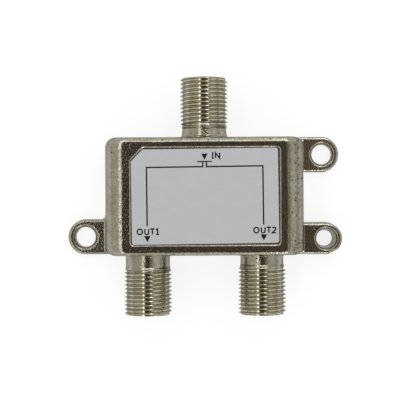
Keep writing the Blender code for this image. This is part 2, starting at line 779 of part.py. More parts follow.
def make_ground_solder(name, side):
    """A collar of solder round a cast stud, sloping down to the board."""
    inner = STUD_DIAMETER / 2 + SOLDER_GAP
    outer = COLLAR_DIAMETER / 2
    high = board_low() - SOLDER_GAP
    middle = (inner + outer) / 2
    profile = [(inner, high), (inner, high - COLLAR_HEIGHT), (middle, high - COLLAR_HEIGHT * 0.6),
               (outer, high - COLLAR_HEIGHT * 0.15), (outer, high)]
    return add_object(name, mesh_from(revolve_ring(profile, SMALL_SEGMENTS), name), solder_metal(),
                      location=(*post_place(side), 0.0))


def component_top(height):
    """Middle height of a component of that height that hangs below the board."""
    return board_low() - COMPONENT_GAP - height / 2


def make_core(name, y):
    """A two-hole ferrite core: a block with round sides, its two holes along Y."""
    side = CORE_HEIGHT / 2
    straight = CORE_WIDTH / 2 - side
    quarter = math.pi / 2
    outline = arc((straight, 0.0), side, -quarter, quarter, 8)
    outline += arc((-straight, 0.0), side, quarter, 3 * quarter, 8)
    half = CORE_LENGTH / 2
    loops = [[Vector((x, along, z)) for x, z in outline] for along in (-half, half)]
    place = (0.0, y, component_top(CORE_HEIGHT))
    core = add_object(name, mesh_from(stack(loops), name), ferrite(), location=place)
    profile = [(0.0, -half - CUT_OVERRUN), (CORE_HOLE_DIAMETER / 2, -half - CUT_OVERRUN),
               (CORE_HOLE_DIAMETER / 2, half + CUT_OVERRUN), (0.0, half + CUT_OVERRUN)]
    for side_name, x in (("left", -CORE_HOLE_SPACING / 2), ("right", CORE_HOLE_SPACING / 2)):
        hole_name = f"{name}_{side_name}_hole"
        hole = add_object(hole_name, mesh_from(revolve(profile, SMALL_SEGMENTS), hole_name), None,
                          location=(x, y, place[2]), rotation=(quarter, 0.0, 0.0))
        boolean(core, hole, "DIFFERENCE")
    return core


def wire(name, points, diameter, parent=None, location=(0, 0, 0)):
    """A wire of round section along a line of points, as a bevelled curve with filled ends."""
    curve = bpy.data.curves.new(name, "CURVE")
    curve.dimensions = "3D"
    curve.bevel_depth = diameter / 2
    curve.bevel_resolution = 1
    curve.use_fill_caps = True
    spline = curve.splines.new("POLY")
    spline.points.add(len(points) - 1)
    for slot, point in zip(spline.points, points):
        slot.co = (*point, 1.0)
    return add_object(name, curve, copper_enamel(), parent, location)


def make_core_winding(name, y):
    """Turns of wire through both holes of a core, stacked in the holes, with both ends led to the board."""
    half = CORE_LENGTH / 2
    across = CORE_HOLE_SPACING / 2
    bend = 6
    points = []
    for turn in range(WINDING_TURNS):
        height = (turn - (WINDING_TURNS - 1) / 2) * WIRE_PITCH
        points.append((across, -half, height))
        far = arc((0.0, 0.0), 1.0, 0.0, math.pi, bend)
        points += [(across * c, half + WIRE_BULGE * s, height) for c, s in far]
        if turn < WINDING_TURNS - 1:
            near = arc((0.0, 0.0), 1.0, math.pi, math.tau, bend)[:-1]
            points += [(across * c, -half + WIRE_BULGE * s, height + WIRE_PITCH * i / bend)
                       for i, (c, s) in enumerate(near)]
    last = points[-1]
    middle = component_top(CORE_HEIGHT)
    board = board_low() - COMPONENT_GAP - middle
    drop = -half - WIRE_BULGE
    points = [(across, drop, board), (across, drop, board / 2), (across, drop + WIRE_BULGE / 3, points[0][2]),
              *points, (last[0], -half, last[2]), (last[0], drop + WIRE_BULGE / 3, last[2] + WIRE_PITCH / 2),
              (last[0], drop, board / 2), (last[0], drop, board)]
    return wire(name, points, WIRE_DIAMETER, location=(0.0, y, middle))


def make_choke_core(name, side):
    """The ferrite rod of a choke, lying along Y under its winding."""
    radius = CHOKE_CORE_DIAMETER / 2
    half = CHOKE_CORE_LENGTH / 2
    edge = radius / 5
    profile = [(0.0, -half), (radius - edge, -half), (radius, -half + edge), (radius, half - edge),
               (radius - edge, half), (0.0, half)]
    place = (side * choke_x(), CHOKE_Y, component_top(choke_diameter()))
    return add_object(name, mesh_from(revolve(profile, SMALL_SEGMENTS), name), ferrite(), location=place,
                      rotation=(math.pi / 2, 0.0, 0.0))


def choke_diameter():
    """Diameter over a choke's winding."""
    return CHOKE_CORE_DIAMETER + 2 * CHOKE_WIRE_GAP + 2 * CHOKE_WIRE_DIAMETER


def make_choke_winding(name, side):
    """A close helix round the rod, with both ends led straight to the board."""
    radius = CHOKE_CORE_DIAMETER / 2 + CHOKE_WIRE_GAP + CHOKE_WIRE_DIAMETER / 2
    count = CHOKE_TURNS * CHOKE_TURN_STEPS
    start = -CHOKE_TURNS * CHOKE_PITCH / 2
    points = []
    for i in range(count + 1):
        angle = math.tau * i / CHOKE_TURN_STEPS
        along = start + CHOKE_PITCH * i / CHOKE_TURN_STEPS
        points.append((radius * math.cos(angle), along, radius * math.sin(angle)))
    board = board_low() - COMPONENT_GAP - component_top(choke_diameter())
    lead = CHOKE_PITCH / 2
    points = [(radius, start - lead, board), (radius, start - lead, board / 2), *points,
              (radius, -start + lead, board / 2), (radius, -start + lead, board)]
    place = (side * choke_x(), CHOKE_Y, component_top(choke_diameter()))
    return wire(name, points, CHOKE_WIRE_DIAMETER, location=place)


def make_diode(name, side):
    """An axial diode: a round body with a lead from each end bent down to the board."""
    radius = DIODE_DIAMETER / 2
    half = DIODE_LENGTH / 2
    edge = radius / 4
    profile = [(0.0, -half), (radius - edge, -half), (radius, -half + edge), (radius, half - edge),
               (radius - edge, half), (0.0, half)]
    middle = component_top(DIODE_DIAMETER)
    place = (side * diode_x(), DIODE_Y, middle)
    body = material("diode_plastic", (0.03, 0.03, 0.03), 0.4)
    diode = add_object(name, mesh_from(revolve(profile, SMALL_SEGMENTS), name), body, location=place,
                       rotation=(math.pi / 2, 0.0, 0.0))
    board = board_low() - COMPONENT_GAP - middle
    for end, lead_name in ((-1, f"{name}_low_lead"), (1, f"{name}_high_lead")):
        reach = half + DIODE_LEAD_REACH
        lead = revolve([(0.0, 0.0), (DIODE_LEAD_DIAMETER / 2, 0.0), (DIODE_LEAD_DIAMETER / 2, reach),
                        (0.0, reach)], 8)
        bmesh.ops.rotate(lead, verts=lead.verts, matrix=Matrix.Rotation(-end * math.pi / 2, 3, "X"))
        foot = revolve([(0.0, 0.0), (DIODE_LEAD_DIAMETER / 2, 0.0), (DIODE_LEAD_DIAMETER / 2, board),
                        (0.0, board)], 8)
        across = end * (reach - DIODE_LEAD_DIAMETER / 2)
        lead_obj = add_object(lead_name, mesh_from(lead, lead_name), None, location=place)
        foot_obj = add_object(f"{lead_name}_foot", mesh_from(foot, f"{lead_name}_foot"), None,
                              location=(place[0], place[1] + across, place[2]))
        boolean(diode, lead_obj, "UNION")
        boolean(diode, foot_obj, "UNION")
    return diode


def make_chip(name, x, y, length, width, height, finish):
    """A chip component lying along X: a block whose metal end caps stand a little proud."""
    cap = length * CHIP_CAP_SHARE
    step = CHIP_CAP_STEP
    stations = ((-length / 2, 0.0), (-length / 2 + cap, 0.0), (-length / 2 + cap, step),
                (length / 2 - cap, step), (length / 2 - cap, 0.0), (length / 2, 0.0))
    loops = []
    for along, inset in stations:
        half_width = width / 2 - inset
        half_height = height / 2 - inset
        loops.append([Vector((along, half_width, half_height)), Vector((along, -half_width, half_height)),
                      Vector((along, -half_width, -half_height)), Vector((along, half_width, -half_height))])
    return add_object(name, mesh_from(stack(loops), name), finish, location=(x, y, component_top(height)))


def make_chips():
    """The balance resistor between the outputs and a blocking capacitor beside each port."""
    row = board_halves()[1] - CHIP_ROW_INSET
    resistive = material("resistor_body", (0.04, 0.05, 0.09), 0.4)
    ceramic = material("capacitor_ceramic", (0.50, 0.38, 0.24), 0.5)
    capacitor = (CAPACITOR_LENGTH, CAPACITOR_WIDTH, CAPACITOR_HEIGHT, ceramic)
    make_chip("balance_resistor", 0.0, -row, RESISTOR_LENGTH, RESISTOR_WIDTH, RESISTOR_HEIGHT, resistive)
    make_chip("out1_capacitor", -OUTPUT_CAPACITOR_X, -row, *capacitor)
    make_chip("out2_capacitor", OUTPUT_CAPACITOR_X, -row, *capacitor)
    make_chip("in_capacitor", INPUT_CAPACITOR_X, row, *capacitor)


def main():
    clear_scene()
    frames = {port.name: port_frame(port) for port in PORTS}
    make_housing(frames)
    make_back_cover()
    make_label()
    for port in PORTS:
        make_insulator(port, frames[port.name])
        make_contact(port, frames[port.name])
        make_tail_solder(port)
    make_board()
    make_core("matching_core", MATCHING_CORE_Y)
    make_core_winding("matching_winding", MATCHING_CORE_Y)
    make_core("splitting_core", SPLITTING_CORE_Y)
    make_core_winding("splitting_winding", SPLITTING_CORE_Y)
    for side, name in ((-1, "out1"), (1, "out2")):
        make_choke_core(f"{name}_choke_core", side)
        make_choke_winding(f"{name}_choke_winding", side)
        make_diode(f"{name}_diode", side)
    make_ground_solder("left_ground_solder", -1)
    make_ground_solder("right_ground_solder", 1)
    make_chips()


main()
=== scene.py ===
"""The looks of a two-way coaxial splitter: a nickel-plated casting with a grey label, on a pale floor.

The splitter lies on its back and the camera looks straight down on the label. +Z points out of the
label, +Y along the input port and +X to the right of the label. Lengths are in metres.
"""

import logging
import math
from collections.abc import Sequence
from dataclasses import dataclass, field
from enum import Enum

import bpy
import numpy as np
from mathutils import Matrix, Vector
from numpy.typing import NDArray


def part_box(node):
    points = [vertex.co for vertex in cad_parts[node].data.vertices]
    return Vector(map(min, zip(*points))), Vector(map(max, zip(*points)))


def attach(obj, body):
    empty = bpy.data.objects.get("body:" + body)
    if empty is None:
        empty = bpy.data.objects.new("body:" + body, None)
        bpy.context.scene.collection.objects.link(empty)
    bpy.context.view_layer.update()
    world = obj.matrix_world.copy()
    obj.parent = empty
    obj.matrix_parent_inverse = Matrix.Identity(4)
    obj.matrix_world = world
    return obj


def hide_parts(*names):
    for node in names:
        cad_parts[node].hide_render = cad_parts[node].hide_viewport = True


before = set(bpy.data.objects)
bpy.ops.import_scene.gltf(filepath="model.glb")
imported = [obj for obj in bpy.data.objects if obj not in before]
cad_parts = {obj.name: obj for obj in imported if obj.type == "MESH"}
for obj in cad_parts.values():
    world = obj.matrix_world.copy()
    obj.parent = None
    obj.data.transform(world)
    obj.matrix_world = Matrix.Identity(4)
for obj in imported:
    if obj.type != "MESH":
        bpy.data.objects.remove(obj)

log = logging.getLogger("splitter")

MM = 0.001
INCH = 25.4 * MM
BODY = "root"

Points = NDArray[np.float64]
Colour = tuple[float, float, float]


# Surfaces on a grid of two parameters


@dataclass(frozen=True)
class Patch:
    """One closed surface as a grid of points, with rows along its profile and columns around it.

    Attributes:
        points: Array of rows by columns by 3.
        ring: True where the last row joins the first, as on a ring with a hole through it.
        traits: Values over the grid that the finish reads, by name, one for all or one for each point.
    """

    points: Points
    ring: bool = False
    traits: dict[str, Points | float] = field(default_factory=dict)

    def faces(self) -> tuple[Points, NDArray[np.int64], NDArray[np.int64]]:
        """Joins neighbours on the grid into quads and closes the ends with a fan of triangles to a pole.

        Returns:
            The vertices, the quads and the triangles, turned so that the faces look outwards.
        """
        rows, columns = self.points.shape[:2]
        vertices = self.points.reshape(-1, 3)
        i = np.arange(rows if self.ring else rows - 1)[:, None]
        j = np.arange(columns)[None, :]
        right = (j + 1) % columns
        row, above = i * columns, (i + 1) % rows * columns
        quads = np.stack([row + j, row + right, above + right, above + j], -1)
        quads = quads.reshape(-1, 4)
        triangles = np.empty((0, 3), np.int64)
        if not self.ring:
            poles = np.stack([self.points[0].mean(0), self.points[-1].mean(0)])
            vertices = np.concatenate([vertices, poles])
            around, ahead = j[0], right[0]
            first = np.stack([np.full(columns, rows * columns), ahead, around], -1)
            top = (rows - 1) * columns
            last = np.stack([np.full(columns, rows * columns + 1), top + around, top + ahead], -1)
            triangles = np.concatenate([first, last])
        if self.volume(vertices, quads, triangles) < 0:
            quads = quads[:, ::-1]
            triangles = triangles[:, ::-1]
        return vertices, quads, triangles

    def trait(self, name: str) -> Points:
        """A trait at every vertex, with the mean of the end rows at the poles, and 0 where it isn't given."""
        values = np.broadcast_to(self.traits.get(name, 0.0), self.points.shape[:2])
        poles = [] if self.ring else [values[0].mean(), values[-1].mean()]
        return np.concatenate([values.reshape(-1), poles])

    @staticmethod
    def volume(vertices: Points, quads: NDArray[np.int64], triangles: NDArray[np.int64]) -> float:
        """Sum of the signed tetrahedra between the origin and each triangle, which is below 0 inside out."""
        corners = np.concatenate([quads[:, [0, 1, 2]], quads[:, [0, 2, 3]], triangles])
        a, b, c = (vertices[corners[:, k]] for k in range(3))
        return float(np.einsum("ij,ij->i", a, np.cross(b, c)).sum() / 6)


def build_piece(title: str, patches: Sequence[Patch], sharp: float = 35.0) -> bpy.types.Object:
    """Makes one object of closed surfaces.

    Args:
        title: Name of the piece.
        patches: Its surfaces.
        sharp: Angle in degrees above which an edge stays sharp.

    Returns:
        The linked object, at the origin, unturned and unscaled.
    """
    vertices, loops, totals, start = [], [], [], 0
    for patch in patches:
        points, quads, triangles = patch.faces()
        vertices.append(points)
        loops += [quads.reshape(-1) + start, triangles.reshape(-1) + start]
        totals += [np.full(len(quads), 4), np.full(len(triangles), 3)]
        start += len(points)
    corners = np.concatenate(loops)
    counts = np.concatenate(totals)
    mesh = bpy.data.meshes.new(title)
    mesh.vertices.add(start)
    mesh.vertices.foreach_set("co", np.concatenate(vertices).astype(np.float32).reshape(-1))
    mesh.loops.add(len(corners))
    mesh.loops.foreach_set("vertex_index", corners.astype(np.int32))
    mesh.polygons.add(len(counts))
    mesh.polygons.foreach_set("loop_start", (np.cumsum(counts) - counts).astype(np.int32))
    mesh.update(calc_edges=True)
    mesh.validate()
    mesh.shade_smooth()
    mesh.set_sharp_from_angle(angle=math.radians(sharp))
    for name in sorted({trait for patch in patches for trait in patch.traits}):
        values = np.concatenate([patch.trait(name) for patch in patches])
        mesh.attributes.new(name, "FLOAT", "POINT").data.foreach_set("value", values.astype(np.float32))
    piece = bpy.data.objects.new(title, mesh)
    bpy.context.scene.collection.objects.link(piece)
    return piece


def settle(piece: bpy.types.Object, finish: bpy.types.Material, slot: str, *nodes: str) -> None:
    """Dresses a finished piece, lets it ride on the splitter and names the CAD nodes that it stands for.

    Args:
        piece: The finished object.
        finish: Its material.
        slot: Name of that finish's slot; not used.
        nodes: CAD nodes that it replaces.
    """
    piece.data.materials.clear()
    piece.data.materials.append(finish)
    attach(piece, BODY)
    if nodes:
        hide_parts(*nodes)
    stands_for = ", ".join(nodes) or "nothing"
    log.info("%s: %d faces, stands for %s", piece.name, len(piece.data.polygons), stands_for)


def span(start: float, end: float, steps: int) -> Points:
    """Evenly spaced values with both ends."""
    return np.linspace(start, end, steps + 1)


@dataclass(frozen=True)
class Outline:
    """Plan of a four-cornered shape: its half sizes, and for each corner a radius and how flat it is cut.

    The corners run anticlockwise from the upper right. A corner of flatness 0 is a round arc and a corner of
    flatness 1 is the arc's chord, a plain cut-off.
    """

    half_width: float
    half_height: float
    radii: tuple[float, float, float, float]
    flatness: tuple[float, float, float, float] = (0.0, 0.0, 0.0, 0.0)
    middle: tuple[float, float] = (0.0, 0.0)

    def points(self, corner_columns: int, side_columns: int) -> Points:
        """Plan points with the same number of columns whatever the size, so that outlines can be lofted.

        Each corner is centre + radius * (cos a, sin a), mixed by its flatness with the chord between its
        ends, and each side is the straight line from one corner's end to the next one's start.

        Args:
            corner_columns: Points along each corner.
            side_columns: Points along each side, between the corners.

        Returns:
            Array of columns by 2, anticlockwise.
        """
        signs = ((1, 1), (-1, 1), (-1, -1), (1, -1))
        share = span(0, 1, corner_columns - 1)[:, None]
        corners = []
        for turn, ((sx, sy), radius, flat) in enumerate(zip(signs, self.radii, self.flatness)):
            angle = (turn + span(0, 1, corner_columns - 1)) * math.pi / 2
            centre = np.array([self.middle[0] + sx * (self.half_width - radius),
                               self.middle[1] + sy * (self.half_height - radius)])
            arc = centre + radius * np.stack([np.cos(angle), np.sin(angle)], -1)
            chord = arc[0] + (arc[-1] - arc[0]) * share
            corners.append(arc + (chord - arc) * flat)
        between = span(0, 1, side_columns + 1)[1:-1, None]
        whole = []
        for turn, corner in enumerate(corners):
            ahead = corners[(turn + 1) % 4]
            whole += [corner, corner[-1] + (ahead[0] - corner[-1]) * between]
        return np.concatenate(whole)


def loft(levels: Sequence[tuple[Outline, float]], corner_columns: int, side_columns: int) -> Points:
    """Stacks outlines at their heights.

    Args:
        levels: Pairs of an outline and its height.
        corner_columns: Points along each corner.
        side_columns: Points along each side.

    Returns:
        Grid of levels by columns by 3.
    """
    plans = np.stack([outline.points(corner_columns, side_columns) for outline, _ in levels])
    heights = np.array([z for _, z in levels])[:, None, None]
    return np.concatenate([plans, np.broadcast_to(heights, plans.shape[:2] + (1,))], -1)


def lathe(profile: Points, columns: int) -> Points:
    """Turns a profile about Z: each point (r, z) becomes (r cos a, r sin a, z) for the angles a around.

    Args:
        profile: Array of rows by 2, radius and height.
        columns: Points around.

    Returns:
        Grid of rows by columns by 3.
    """
    angle = math.tau * np.arange(columns) / columns
    radius, height = profile[:, :1], profile[:, 1:]
    return np.stack([radius * np.cos(angle), radius * np.sin(angle), height + 0 * angle], -1)


def ease(edge: float, width: float, values: Points) -> Points:
    """Smooth step from 0 to 1 over a width that starts at an edge: t * t * (3 - 2 t)."""
    t = np.clip((values - edge) / width, 0, 1)
    return t * t * (3 - 2 * t)


# Node trees


Socket = bpy.types.NodeSocket


@dataclass
class Graph:
    """Adds nodes to a tree and joins them."""

    tree: bpy.types.NodeTree

    def add(self, kind: str, inputs: dict[str | int, object] | None = None,
            **settings: object) -> bpy.types.Node:
        """Adds a node.

        Args:
            kind: The node's type.
            inputs: Values or sockets for its inputs, by name or place.
            settings: Its own properties.

        Returns:
            The node.
        """
        node = self.tree.nodes.new(kind)
        for key, value in settings.items():
            setattr(node, key, value)
        for key, value in (inputs or {}).items():
            if isinstance(value, Socket):
                self.tree.links.new(value, node.inputs[key])
            else:
                node.inputs[key].default_value = value
        return node

    def math(self, operation: str, *values: object) -> Socket:
        """Adds a Math node and returns its value."""
        return self.add("ShaderNodeMath", dict(enumerate(values)), operation=operation).outputs[0]

    def noise(self, vector: Socket, scale: object, detail: float = 2.0, roughness: float = 0.5) -> Socket:
        """Adds a Noise texture and returns its value, which stays about 0.5."""
        inputs = {"Vector": vector, "Scale": scale, "Detail": detail, "Roughness": roughness}
        return self.add("ShaderNodeTexNoise", inputs).outputs[0]

    def ramp(self, value: Socket, low: float, high: float) -> Socket:
        """Maps a value from between low and high to between 0 and 1, smoothly and held at both ends."""
        inputs = {"Value": value, "From Min": low, "From Max": high}
        return self.add("ShaderNodeMapRange", inputs, interpolation_type="SMOOTHSTEP").outputs[0]

    def mix(self, share: object, first: object, second: object, blend: str = "MIX") -> Socket:
        """Mixes two colours."""
        node = self.add("ShaderNodeMix", data_type="RGBA", blend_type=blend)
        for place, value in ((0, share), (6, first), (7, second)):
            if isinstance(value, Socket):
                self.tree.links.new(value, node.inputs[place])
            else:
                node.inputs[place].default_value = (*value, 1.0) if isinstance(value, tuple) else value
        return node.outputs[2]

    def object_coordinates(self) -> Socket:
        """The point on the piece, in metres."""
        return self.add("ShaderNodeTexCoord").outputs["Object"]

    def trait(self, name: str) -> Socket:
        """A patch's trait, which is 0 on a piece that hasn't got it."""
        return self.add("ShaderNodeAttribute", attribute_name=name).outputs["Fac"]


def new_group(name: str, inputs: dict[str, float],
              outputs: Sequence[str]) -> tuple[Graph, dict[str, Socket], bpy.types.Node]:
    """Starts a shader node group with number sockets.

    Args:
        name: Name of the group.
        inputs: Default value of each input.
        outputs: Names of the outputs.

    Returns:
        The group's graph, its input sockets by name and its output node.
    """
    tree = bpy.data.node_groups.new(name, "ShaderNodeTree")
    for label, value in inputs.items():
        tree.interface.new_socket(name=label, in_out="INPUT", socket_type="NodeSocketFloat").default_value = value
    for label in outputs:
        tree.interface.new_socket(name=label, in_out="OUTPUT", socket_type="NodeSocketFloat")
    graph = Graph(tree)
    entry = graph.add("NodeGroupInput")
    leave = graph.add("NodeGroupOutput")
    return graph, {label: entry.outputs[label] for label in inputs}, leave


def surface_grain() -> bpy.types.NodeTree:
    """Grain of a cast, moulded or pressed surface: a height, a slow drift of tone and a fine mottle of tone."""
    graph, given, leave = new_group("surface_grain", {"Scale": 3000.0, "Coarseness": 0.3},
                                    ("Height", "Drift", "Mottle"))
    here = graph.object_coordinates()
    fine = graph.noise(here, given["Scale"], 3.0, 0.55)
    coarse = graph.noise(here, graph.math("DIVIDE", given["Scale"], 4.0), 2.0, 0.5)
    part = graph.math("MULTIPLY", coarse, given["Coarseness"])
    rest = graph.math("MULTIPLY", fine, graph.math("SUBTRACT", 1.0, given["Coarseness"]))
    graph.tree.links.new(graph.math("ADD", part, rest), leave.inputs["Height"])
    drift = graph.noise(here, graph.math("DIVIDE", given["Scale"], 8.0), 3.0, 0.55)
    graph.tree.links.new(graph.ramp(drift, 0.3, 0.7), leave.inputs["Drift"])
    mottle = graph.noise(here, graph.math("MULTIPLY", given["Scale"], 0.7), 2.0, 0.6)
    graph.tree.links.new(graph.ramp(mottle, 0.34, 0.66), leave.inputs["Mottle"])
    return graph.tree


def small_pits() -> bpy.types.NodeTree:
    """Sparse ragged pits: near the middle of a cell, in a share of the cells."""
    graph, given, leave = new_group("small_pits", {"Scale": 900.0, "Share": 0.1, "Radius": 0.2}, ("Mask",))
    here = graph.object_coordinates()
    stir = graph.add("ShaderNodeTexNoise", {"Vector": here, "Scale": graph.math("MULTIPLY", given["Scale"], 2.0)})
    offset = graph.add("ShaderNodeVectorMath", {0: stir.outputs["Color"], 1: (-0.5, -0.5, -0.5)}, operation="ADD")
    half_cell = graph.math("DIVIDE", 0.5, given["Scale"])
    size = graph.add("ShaderNodeVectorMath", {0: offset.outputs[0], "Scale": half_cell}, operation="SCALE")
    stirred = graph.add("ShaderNodeVectorMath", {0: here, 1: size.outputs[0]}, operation="ADD").outputs[0]
    cells = graph.add("ShaderNodeTexVoronoi", {"Vector": stirred, "Scale": given["Scale"]})
    pick = graph.add("ShaderNodeSeparateColor", {"Color": cells.outputs["Color"]}).outputs[0]
    chosen = graph.math("LESS_THAN", pick, given["Share"])
    depth = graph.math("SUBTRACT", 1.0, graph.math("DIVIDE", cells.outputs["Distance"], given["Radius"]))
    mask = graph.math("MULTIPLY", chosen, graph.ramp(depth, 0.0, 0.5))
    graph.tree.links.new(mask, leave.inputs["Mask"])
    return graph.tree


@dataclass
class Effects:
    """The node groups that the finishes share, each built once."""

    grain: bpy.types.NodeTree = field(default_factory=surface_grain)
    pits: bpy.types.NodeTree = field(default_factory=small_pits)


@dataclass(frozen=True)
class Finish:
    """A finish with a grain: its two tones, its gloss and how deep its grain is.

    Where a patch is smoothed its grain is flatter, and where it is pitted more of its cells hold a pit. Its
    lightening trait makes it lighter by a quarter of the trait, or darker below 0: a lighter polish on the
    threads, a painted sheen on the ears' tops and a painted shade on the right wall.

    Attributes:
        name: The record's slot.
        colour: Main tone.
        second: Tone where the drift is strongest.
        roughness: Roughness where the drift is weakest.
        rougher: What the drift adds to it.
        metallic: 1 for a bare metal.
        grain: Grains to the metre.
        coarseness: Share of the coarse grain.
        relief: Height of the grain in metres.
        pit_share: Share of the cells that hold a pit.
        pit_scale: Cells to the metre.
        pit_colour: Tone in the pits.
        pit_radius: Their radius, as a share of a cell.
        mottle: How much darker the mottle is at its darkest.
        coat: Clear lacquer or glaze.
        specular_tint: How much of a bare metal's gloss is left where it is seen at a slant.
    """

    name: str
    colour: Colour
    second: Colour
    roughness: float = 0.4
    rougher: float = 0.1
    metallic: float = 0.0
    grain: float = 3000.0
    coarseness: float = 0.3
    relief: float = 0.004 * MM
    pit_share: float = 0.0
    pit_scale: float = 900.0
    pit_colour: Colour = (0.02, 0.018, 0.015)
    pit_radius: float = 0.2
    mottle: float = 0.0
    coat: float = 0.0
    specular_tint: Colour = (1.0, 1.0, 1.0)

    def build(self, effects: Effects) -> bpy.types.Material:
        """Makes the material, with its colour, roughness and normal worked out over the surface."""
        made = bpy.data.materials.new(self.name)
        made.use_nodes = True
        graph = Graph(made.node_tree)
        shader = made.node_tree.nodes["Principled BSDF"]
        shader.inputs["Metallic"].default_value = self.metallic
        shader.inputs["Coat Weight"].default_value = self.coat
        shader.inputs["Specular Tint"].default_value = (*self.specular_tint, 1.0)
        inputs = {"Scale": self.grain, "Coarseness": self.coarseness}
        grain = graph.add("ShaderNodeGroup", node_tree=effects.grain)
        for key, value in inputs.items():
            grain.inputs[key].default_value = value
        drift = grain.outputs["Drift"]
        colour = graph.mix(drift, self.colour, self.second)
        height = grain.outputs["Height"]
        if self.mottle:
            tone = graph.math("MULTIPLY_ADD", grain.outputs["Mottle"], self.mottle, 1.0 - self.mottle)
            # Threads' polish, ears' painted sheen and the right wall's painted shade change the tone here
            tone = graph.math("MULTIPLY_ADD", graph.trait("polished"), 0.25, tone)
            colour = graph.mix(1.0, colour, tone, "MULTIPLY")
        if self.pit_share:
            pits = graph.add("ShaderNodeGroup", node_tree=effects.pits)
            pits.inputs["Scale"].default_value = self.pit_scale
            share = graph.math("MULTIPLY_ADD", graph.trait("pitted"), self.pit_share, self.pit_share)
            graph.tree.links.new(share, pits.inputs["Share"])
            pits.inputs["Radius"].default_value = self.pit_radius
            colour = graph.mix(pits.outputs["Mask"], colour, self.pit_colour)
            height = graph.math("MULTIPLY_ADD", pits.outputs["Mask"], -0.6, height)
        height = graph.math("MULTIPLY", height, graph.math("SUBTRACT", 1.0, graph.trait("smoothed")))
        roughness = graph.math("MULTIPLY_ADD", drift, self.rougher, self.roughness)
        bump = graph.add("ShaderNodeBump", {"Distance": self.relief, "Height": height})
        graph.tree.links.new(colour, shader.inputs["Base Color"])
        graph.tree.links.new(roughness, shader.inputs["Roughness"])
        graph.tree.links.new(bump.outputs[0], shader.inputs["Normal"])
        return made


class Slot(Enum):
    """The finishes, as they look on this splitter."""

    CASTING = Finish("nickel_plate", (0.53, 0.515, 0.45), (0.445, 0.415, 0.335), 0.09, 0.07, 1.0,
                     2900.0, 0.35, 0.06 * MM, 0.035, 1500.0, pit_radius=0.36, mottle=0.24,
                     specular_tint=(0.62, 0.61, 0.56))
    COVER = Finish("tinned_steel", (0.56, 0.56, 0.54), (0.50, 0.50, 0.48), 0.3, 0.15, 1.0,
                   1500.0, 0.6, 0.006 * MM)
    LABEL = Finish("label_film", (0.452, 0.464, 0.467), (0.438, 0.45, 0.454), 0.5, 0.05, 0.0,
                   4000.0, 0.2, 0.001 * MM)
    INSULATOR = Finish("insulator_plastic", (0.78, 0.76, 0.69), (0.74, 0.71, 0.62), 0.38, 0.1, 0.0,
                       1800.0, 0.5, 0.003 * MM)
    CONTACT = Finish("spring_bronze", (0.72, 0.50, 0.24), (0.60, 0.38, 0.17), 0.22, 0.12, 1.0,
                     2600.0, 0.4, 0.003 * MM)
    SOLDER = Finish("solder", (0.62, 0.62, 0.61), (0.52, 0.52, 0.52), 0.2, 0.2, 1.0, 1600.0, 0.7, 0.01 * MM)
    BOARD = Finish("board_laminate", (0.36, 0.24, 0.09), (0.30, 0.19, 0.07), 0.45, 0.1, 0.0,
                   5000.0, 0.5, 0.006 * MM)
    FERRITE = Finish("ferrite", (0.045, 0.045, 0.05), (0.03, 0.03, 0.032), 0.6, 0.15, 0.0,
                     5000.0, 0.3, 0.01 * MM, 0.1, 1800.0)
    WIRE = Finish("enamelled_copper", (0.62, 0.20, 0.07), (0.48, 0.13, 0.05), 0.25, 0.1, 0.7,
                  3000.0, 0.3, 0.002 * MM, coat=0.6)
    DIODE = Finish("diode_plastic", (0.03, 0.03, 0.032), (0.02, 0.02, 0.02), 0.4, 0.1, 0.0,
                   4000.0, 0.3, 0.003 * MM)
    RESISTOR = Finish("resistor_body", (0.035, 0.045, 0.085), (0.03, 0.035, 0.06), 0.3, 0.1, 0.0,
                      4000.0, 0.3, 0.002 * MM, coat=0.5)
    CAPACITOR = Finish("capacitor_ceramic", (0.48, 0.36, 0.22), (0.42, 0.31, 0.18), 0.45, 0.1, 0.0,
                       4000.0, 0.3, 0.003 * MM)


# The casting


@dataclass(frozen=True)
class Ear:
    """One mounting ear: its side, the middle of its hole and its sizes as the casting has them."""

    side: int
    x: float
    y: float
    radius: float
    tip: float
    thickness: float
    flare_up: float
    hole_back: float
    chamfer: float
    fillet: tuple[float, float]
    # painted sheen: how much lighter the ear's flat top is painted
    painted_sheen: float
    flat_distance: float = 0.0
    flat_angle: float = 0.0


@dataclass(frozen=True)
class Port:
    """One port: its axis, its way along Y and the plain neck before the first turn of its thread."""

    x: float
    way: int
    radius: float
    taper: float
    flare: float
    length: float


